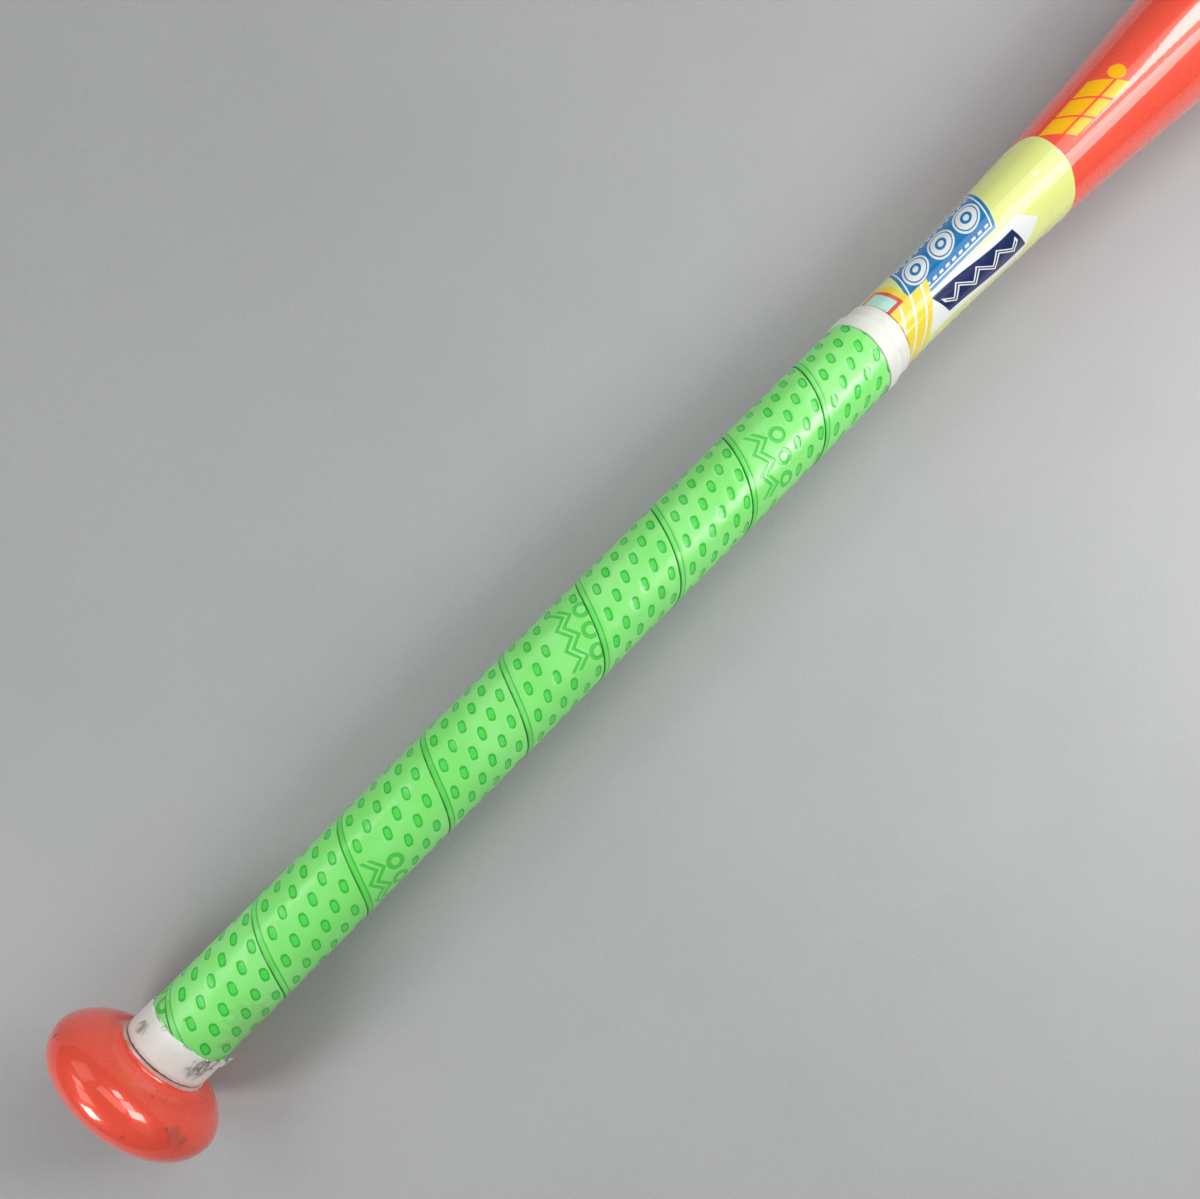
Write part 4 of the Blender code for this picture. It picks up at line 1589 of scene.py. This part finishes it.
@dataclass
class BarrelCap:
    """The moulded snap-in cap: head, slotted skirt with a barb, hub and crossed ribs."""

    line: BatLine
    seat: float = 0.8604
    bite: float = 0.0004
    overhang: float = 0.0018
    edge_round: float = 0.0022
    skirt_wall: float = 0.0018
    skirt_length: float = 0.0150
    slot_root: float = 0.0015
    slot_width: float = 0.0022
    barb_rise: float = 0.0012
    barb_length: float = 0.0026
    fingers: int = 6
    hub: float = 0.0050
    rib_depth: float = 0.0070
    rib_thickness: float = 0.0015
    groove: float = 0.0006
    groove_inset: float = 0.0040

    def head(self, surface: Surface) -> None:
        """Adds the head: a flat disc with a turned groove and a round edge.

        Args:
            surface: The cap's surface.
        """
        end, rim = self.line.length, self.line.mouth() + self.overhang
        flat = rim - self.edge_round
        ring = flat - self.groove_inset
        t = np.linspace(0.0, 1.0, 12)
        profile = [(self.seat, 0.0), (self.seat, rim - 0.0002), (self.seat + 0.0002, rim)]
        profile += arc((end - self.edge_round, rim), (end, flat))
        profile += pairs(end - self.groove * np.sin(t * math.pi) ** 1.4,
                         ring + self.groove * 1.4 * (1 - 2 * t))
        profile += [(end, ring - 0.0030), (end - 0.0002, ring - 0.0033), (end - 0.0002, 0.0)]
        surface.revolve(profile)

    def skirt(self, surface: Surface) -> None:
        """Adds the skirt: a root ring and the fingers, each a section carried part of a turn.

        Args:
            surface: The cap's surface.
        """
        line, root, end = self.line, self.seat - self.slot_root, self.seat - self.skirt_length
        outer = line.mouth() - line.fit
        inner, sunk = outer - self.skirt_wall, self.seat + self.bite
        crest, barb = outer + self.barb_rise, line.shell_end - line.barrel_wall - line.fit
        surface.revolve([(root, inner), (root, outer), (sunk, outer), (sunk, inner)])
        section = np.array([
            (end + 0.0004, outer), (barb - self.barb_length, outer), (barb - 0.0002, crest),
            (barb, crest - 0.0002), (barb, outer), (root + 0.0004, outer), (root + 0.0004, inner),
            (end, inner), (end, outer - 0.0004)])[None, :]
        half_slot = self.slot_width / 2 / outer
        for i in range(self.fingers):
            low = math.pi / 2 + TURN * i / self.fingers + half_slot
            high = math.pi / 2 + TURN * (i + 1) / self.fingers - half_slot
            angle = np.linspace(low, high, 24)[:, None]
            surface.sweep(wheel(section[..., 0], section[..., 1], angle)[:, ::-1])

    def stiffening(self, surface: Surface) -> None:
        """Adds the hub and the ribs: a rib is a bar with a rounded foot, set on the diameter.

        Args:
            surface: The cap's surface.
        """
        floor, sunk = self.seat - self.rib_depth, self.seat + self.bite
        surface.revolve([(floor + 0.0003, 0.0), (floor, self.hub - 0.0003),
                         (floor + 0.0003, self.hub), (sunk, self.hub), (sunk, 0.0)], 96)
        reach = self.line.mouth() - self.line.fit - self.skirt_wall / 2
        across = self.rib_thickness / 2 * np.array([[-1.0, 1.0, 1.0, 0.7, 0.0, -0.7, -1.0]])
        foot = floor + np.array([0.0006, 0.0002, 0.0, 0.0002, 0.0006])
        depth = np.concatenate([[sunk, sunk], foot])[None, :]
        along = np.linspace(-reach, reach, 16)[:, None]
        for i in range(self.fingers // 2):
            turn = math.pi / 2 + math.pi * (2 * i + 1) / self.fingers
            y = along * math.sin(turn) + across * math.cos(turn)
            z = along * math.cos(turn) - across * math.sin(turn)
            surface.sweep(np.stack(np.broadcast_arrays(depth, y, z), axis=-1))

    def build(self) -> bpy.types.Object:
        """Moulds the cap.

        Returns:
            The piece.
        """
        surface = Surface()
        for part in (self.head, self.skirt, self.stiffening):
            part(surface)
        return dress(surface, "barrel_cap", "end_cap", MouldedPlastic())


@dataclass
class BondRing:
    """The cured adhesive between the cap's barb and the barrel's wall."""

    line: BatLine
    inner: float = 0.020675
    length: float = 0.0060
    meniscus: float = 0.0030
    sag: float = 0.0006

    def build(self) -> bpy.types.Object:
        """Runs the ring: its section fills the barrel's rounded corner, with a sagging back.

        Returns:
            The piece.
        """
        line = self.line
        outer = line.barrel - line.barrel_wall - line.fit
        front = line.shell_end - line.barrel_wall - line.fit
        turn_in = line.shell_end - line.end_round
        back = turn_in - self.length
        profile = [(back, outer), *arc((turn_in, outer), (front, line.shoulder())),
                   (front, self.inner)]
        t = np.linspace(0.0, 1.0, 14)
        sag_x = back + self.meniscus * (1.0 - t) - self.sag * np.sin(t * math.pi)
        sag_r = self.inner + (outer - self.inner) * t
        profile += pairs(np.maximum(sag_x, back), sag_r)[:-1]
        return dress(Surface().revolve(profile), "bond_ring", "cap_bond_ring",
                     CuredAdhesive())


# ---------------------------------------------------------------- studio


@dataclass(frozen=True)
class Lamp:
    """A rectangular area lamp: its centre, what it faces, its size and its brightness.

    Its long side lies along the given direction as nearly as facing the target allows.
    """

    name: str
    centre: Point
    target: Point
    size: tuple[float, float]
    brightness: float
    along: Point

    def build(self) -> None:
        """Hangs the lamp; its power is brightness times its area."""
        lamp = bpy.data.lights.new(self.name, "AREA")
        lamp.shape = "RECTANGLE"
        lamp.size, lamp.size_y = self.size
        lamp.energy = self.brightness * self.size[0] * self.size[1]
        obj = bpy.data.objects.new(self.name, lamp)
        bpy.context.scene.collection.objects.link(obj)
        back = np.array(self.centre) - np.array(self.target)
        back /= np.linalg.norm(back)
        side = np.array(self.along) - back * np.dot(self.along, back)
        side /= np.linalg.norm(side)
        turn = np.stack([side, np.cross(back, side), back], axis=1)
        obj.matrix_world = Matrix.Translation(self.centre) @ Matrix(turn.tolist()).to_4x4()


UP = (0.713, 0.697, 0.0)
RIGHT = (0.694, -0.717, 0.0)
ALONG = (1.0, 0.0, 0.0)


@dataclass
class Studio:
    """Floor, lamps, world and camera."""

    line: BatLine
    knob_touch: tuple[float, float] = (0.0092, 0.0254)
    floor_size: float = 12.0
    floor_centre: float = 0.43
    floor_gap: float = 0.00002
    picture_right: Point = (0.69396, -0.71659, 0.07012)
    picture_up: Point = (0.71296, 0.69749, 0.07204)
    forward: Point = (0.10054, 0.0, -0.99493)
    eye: Point = (0.121847, -0.035706, 0.265027)
    lens: float = 28.59
    shift: float = 0.167
    tint: Colour = (0.97, 0.985, 1.0)
    level: float = 0.10
    lamps: tuple[Lamp, ...] = (
        Lamp("lamp_barrel_side", (0.801, 0.014, 0.386), (0.25, 0.0, 0.0), (0.15, 0.15), 33.0, UP),
        Lamp("lamp_between", (0.689, -0.169, 0.388), (0.18, 0.0, 0.0), (0.16, 0.20), 18.0, UP),
        Lamp("lamp_grip_side", (0.471, -0.277, 0.308), (0.12, 0.0, 0.0), (0.20, 0.16), 39.0, RIGHT),
        Lamp("lamp_knob_side", (-0.451, 0.048, 0.349), (0.05, 0.0, 0.0), (0.17, 0.20), 52.0, UP),
        Lamp("lamp_knob_high", (-0.270, 0.260, 0.590), (0.08, 0.0, 0.0), (0.30, 0.30), 8.0, UP),
        Lamp("lamp_knob_far", (-0.076, 0.610, 0.788), (0.10, 0.0, 0.0), (0.34, 0.24), 12.0, RIGHT),
        Lamp("lamp_barrel_end", (1.05, 0.0, 1.0), (0.95, 0.0, 0.0), (0.6, 0.9), 5.5, ALONG),
        Lamp("lamp_left", (0.72, 0.85, 0.70), (0.75, 0.15, 0.0), (0.9, 0.6), 3.2, ALONG),
        Lamp("lamp_right", (0.62, -0.85, 0.70), (0.65, -0.15, 0.0), (0.9, 0.6), 1.2, ALONG),
    )

    def floor(self) -> None:
        """Lays the floor: the plane that touches the knob's rim and the barrel from below."""
        x0, z0 = self.knob_touch[0], -self.knob_touch[1]
        slope = (-self.line.barrel - z0) / (self.line.taper_end - x0)
        steps = np.linspace(-self.floor_size / 2, self.floor_size / 2, 13)
        x = steps[:, None] + self.floor_centre
        z = z0 + slope * (x - x0) - self.floor_gap
        surface = Surface()
        surface.grid(np.stack(np.broadcast_arrays(x, steps[None, :], z), axis=-1))
        floor = show(surface.mesh("floor"), StudioFloor())

    def world(self) -> None:
        """Plain surroundings: a soft grey light, which the camera sees as a pale backdrop."""
        world = bpy.data.worlds.new("surroundings")
        bpy.context.scene.world = world
        world.use_nodes = True
        tree = world.node_tree
        tree.nodes.clear()
        light, seen, path, mix, output = (tree.nodes.new(f"ShaderNode{kind}") for kind in (
            "Background", "Background", "LightPath", "MixShader", "OutputWorld"))
        light.inputs["Color"].default_value = (*self.tint, 1.0)
        light.inputs["Strength"].default_value = self.level
        seen.inputs["Color"].default_value = (*StudioFloor.far, 1.0)
        for source, target in ((path.outputs["Is Camera Ray"], mix.inputs[0]),
                               (light.outputs[0], mix.inputs[1]), (seen.outputs[0], mix.inputs[2]),
                               (mix.outputs[0], output.inputs["Surface"])):
            tree.links.new(source, target)

    def camera(self) -> None:
        """Sets the camera at the photograph's place and angle."""
        data = bpy.data.cameras.new("camera")
        data.lens, data.sensor_width = self.lens, 36.0
        data.shift_x, data.shift_y = 0.0, self.shift
        data.clip_start, data.clip_end = 0.01, 50.0
        camera = bpy.data.objects.new("camera", data)
        bpy.context.scene.collection.objects.link(camera)
        back = tuple(-value for value in self.forward)
        turn = Matrix((self.picture_right, self.picture_up, back)).transposed().to_4x4()
        camera.matrix_world = Matrix.Translation(self.eye) @ turn
        bpy.context.scene.camera = camera
        bpy.context.scene.view_settings.view_transform = "Standard"

    def build(self) -> None:
        """Sets the whole studio up."""
        for part in (self.camera, self.floor, self.world, *(lamp.build for lamp in self.lamps)):
            part()


def main() -> None:
    """Dresses the bat, piece by piece from the shell outwards, and sets up the studio."""
    logging.basicConfig(level=logging.INFO, format="%(name)s: %(message)s")
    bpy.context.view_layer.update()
    line = BatLine()
    Studio(line).build()
    LOG.info("studio: floor, lamps and camera")
    knob_band = KnobBand("knob_band", "knob_tape", 0.0192, 0.0284,
                         near_edge=((3, 0.00010, 0.3), (7, 0.00006, 1.1)),
                         far_edge=((2, 0.00022, 0.5), (5, 0.00014, 2.1), (11, 0.00007, 0.7)))
    top_band = TopBand("top_band", "top_tape", 0.2946, 0.3043,
                       near_edge=((1, 0.00028, 0.8), (3, 0.00015, 2.0), (8, 0.00007, 0.2)),
                       far_edge=((2, 0.00015, 0.4), (6, 0.00008, 1.3)))
    for piece in (Shell(line), Knob(line), KnobStopper(line), FoamStopper(line), WoundGrip(line),
                  knob_band, top_band, FilmSleeve(line), BarrelCap(line), BondRing(line)):
        made = piece.build()
        faces = len(made.data.polygons)
        LOG.info("%s built as %s with %d faces", type(piece).__name__, made.name, faces)


if __name__ == "__main__":
    main()
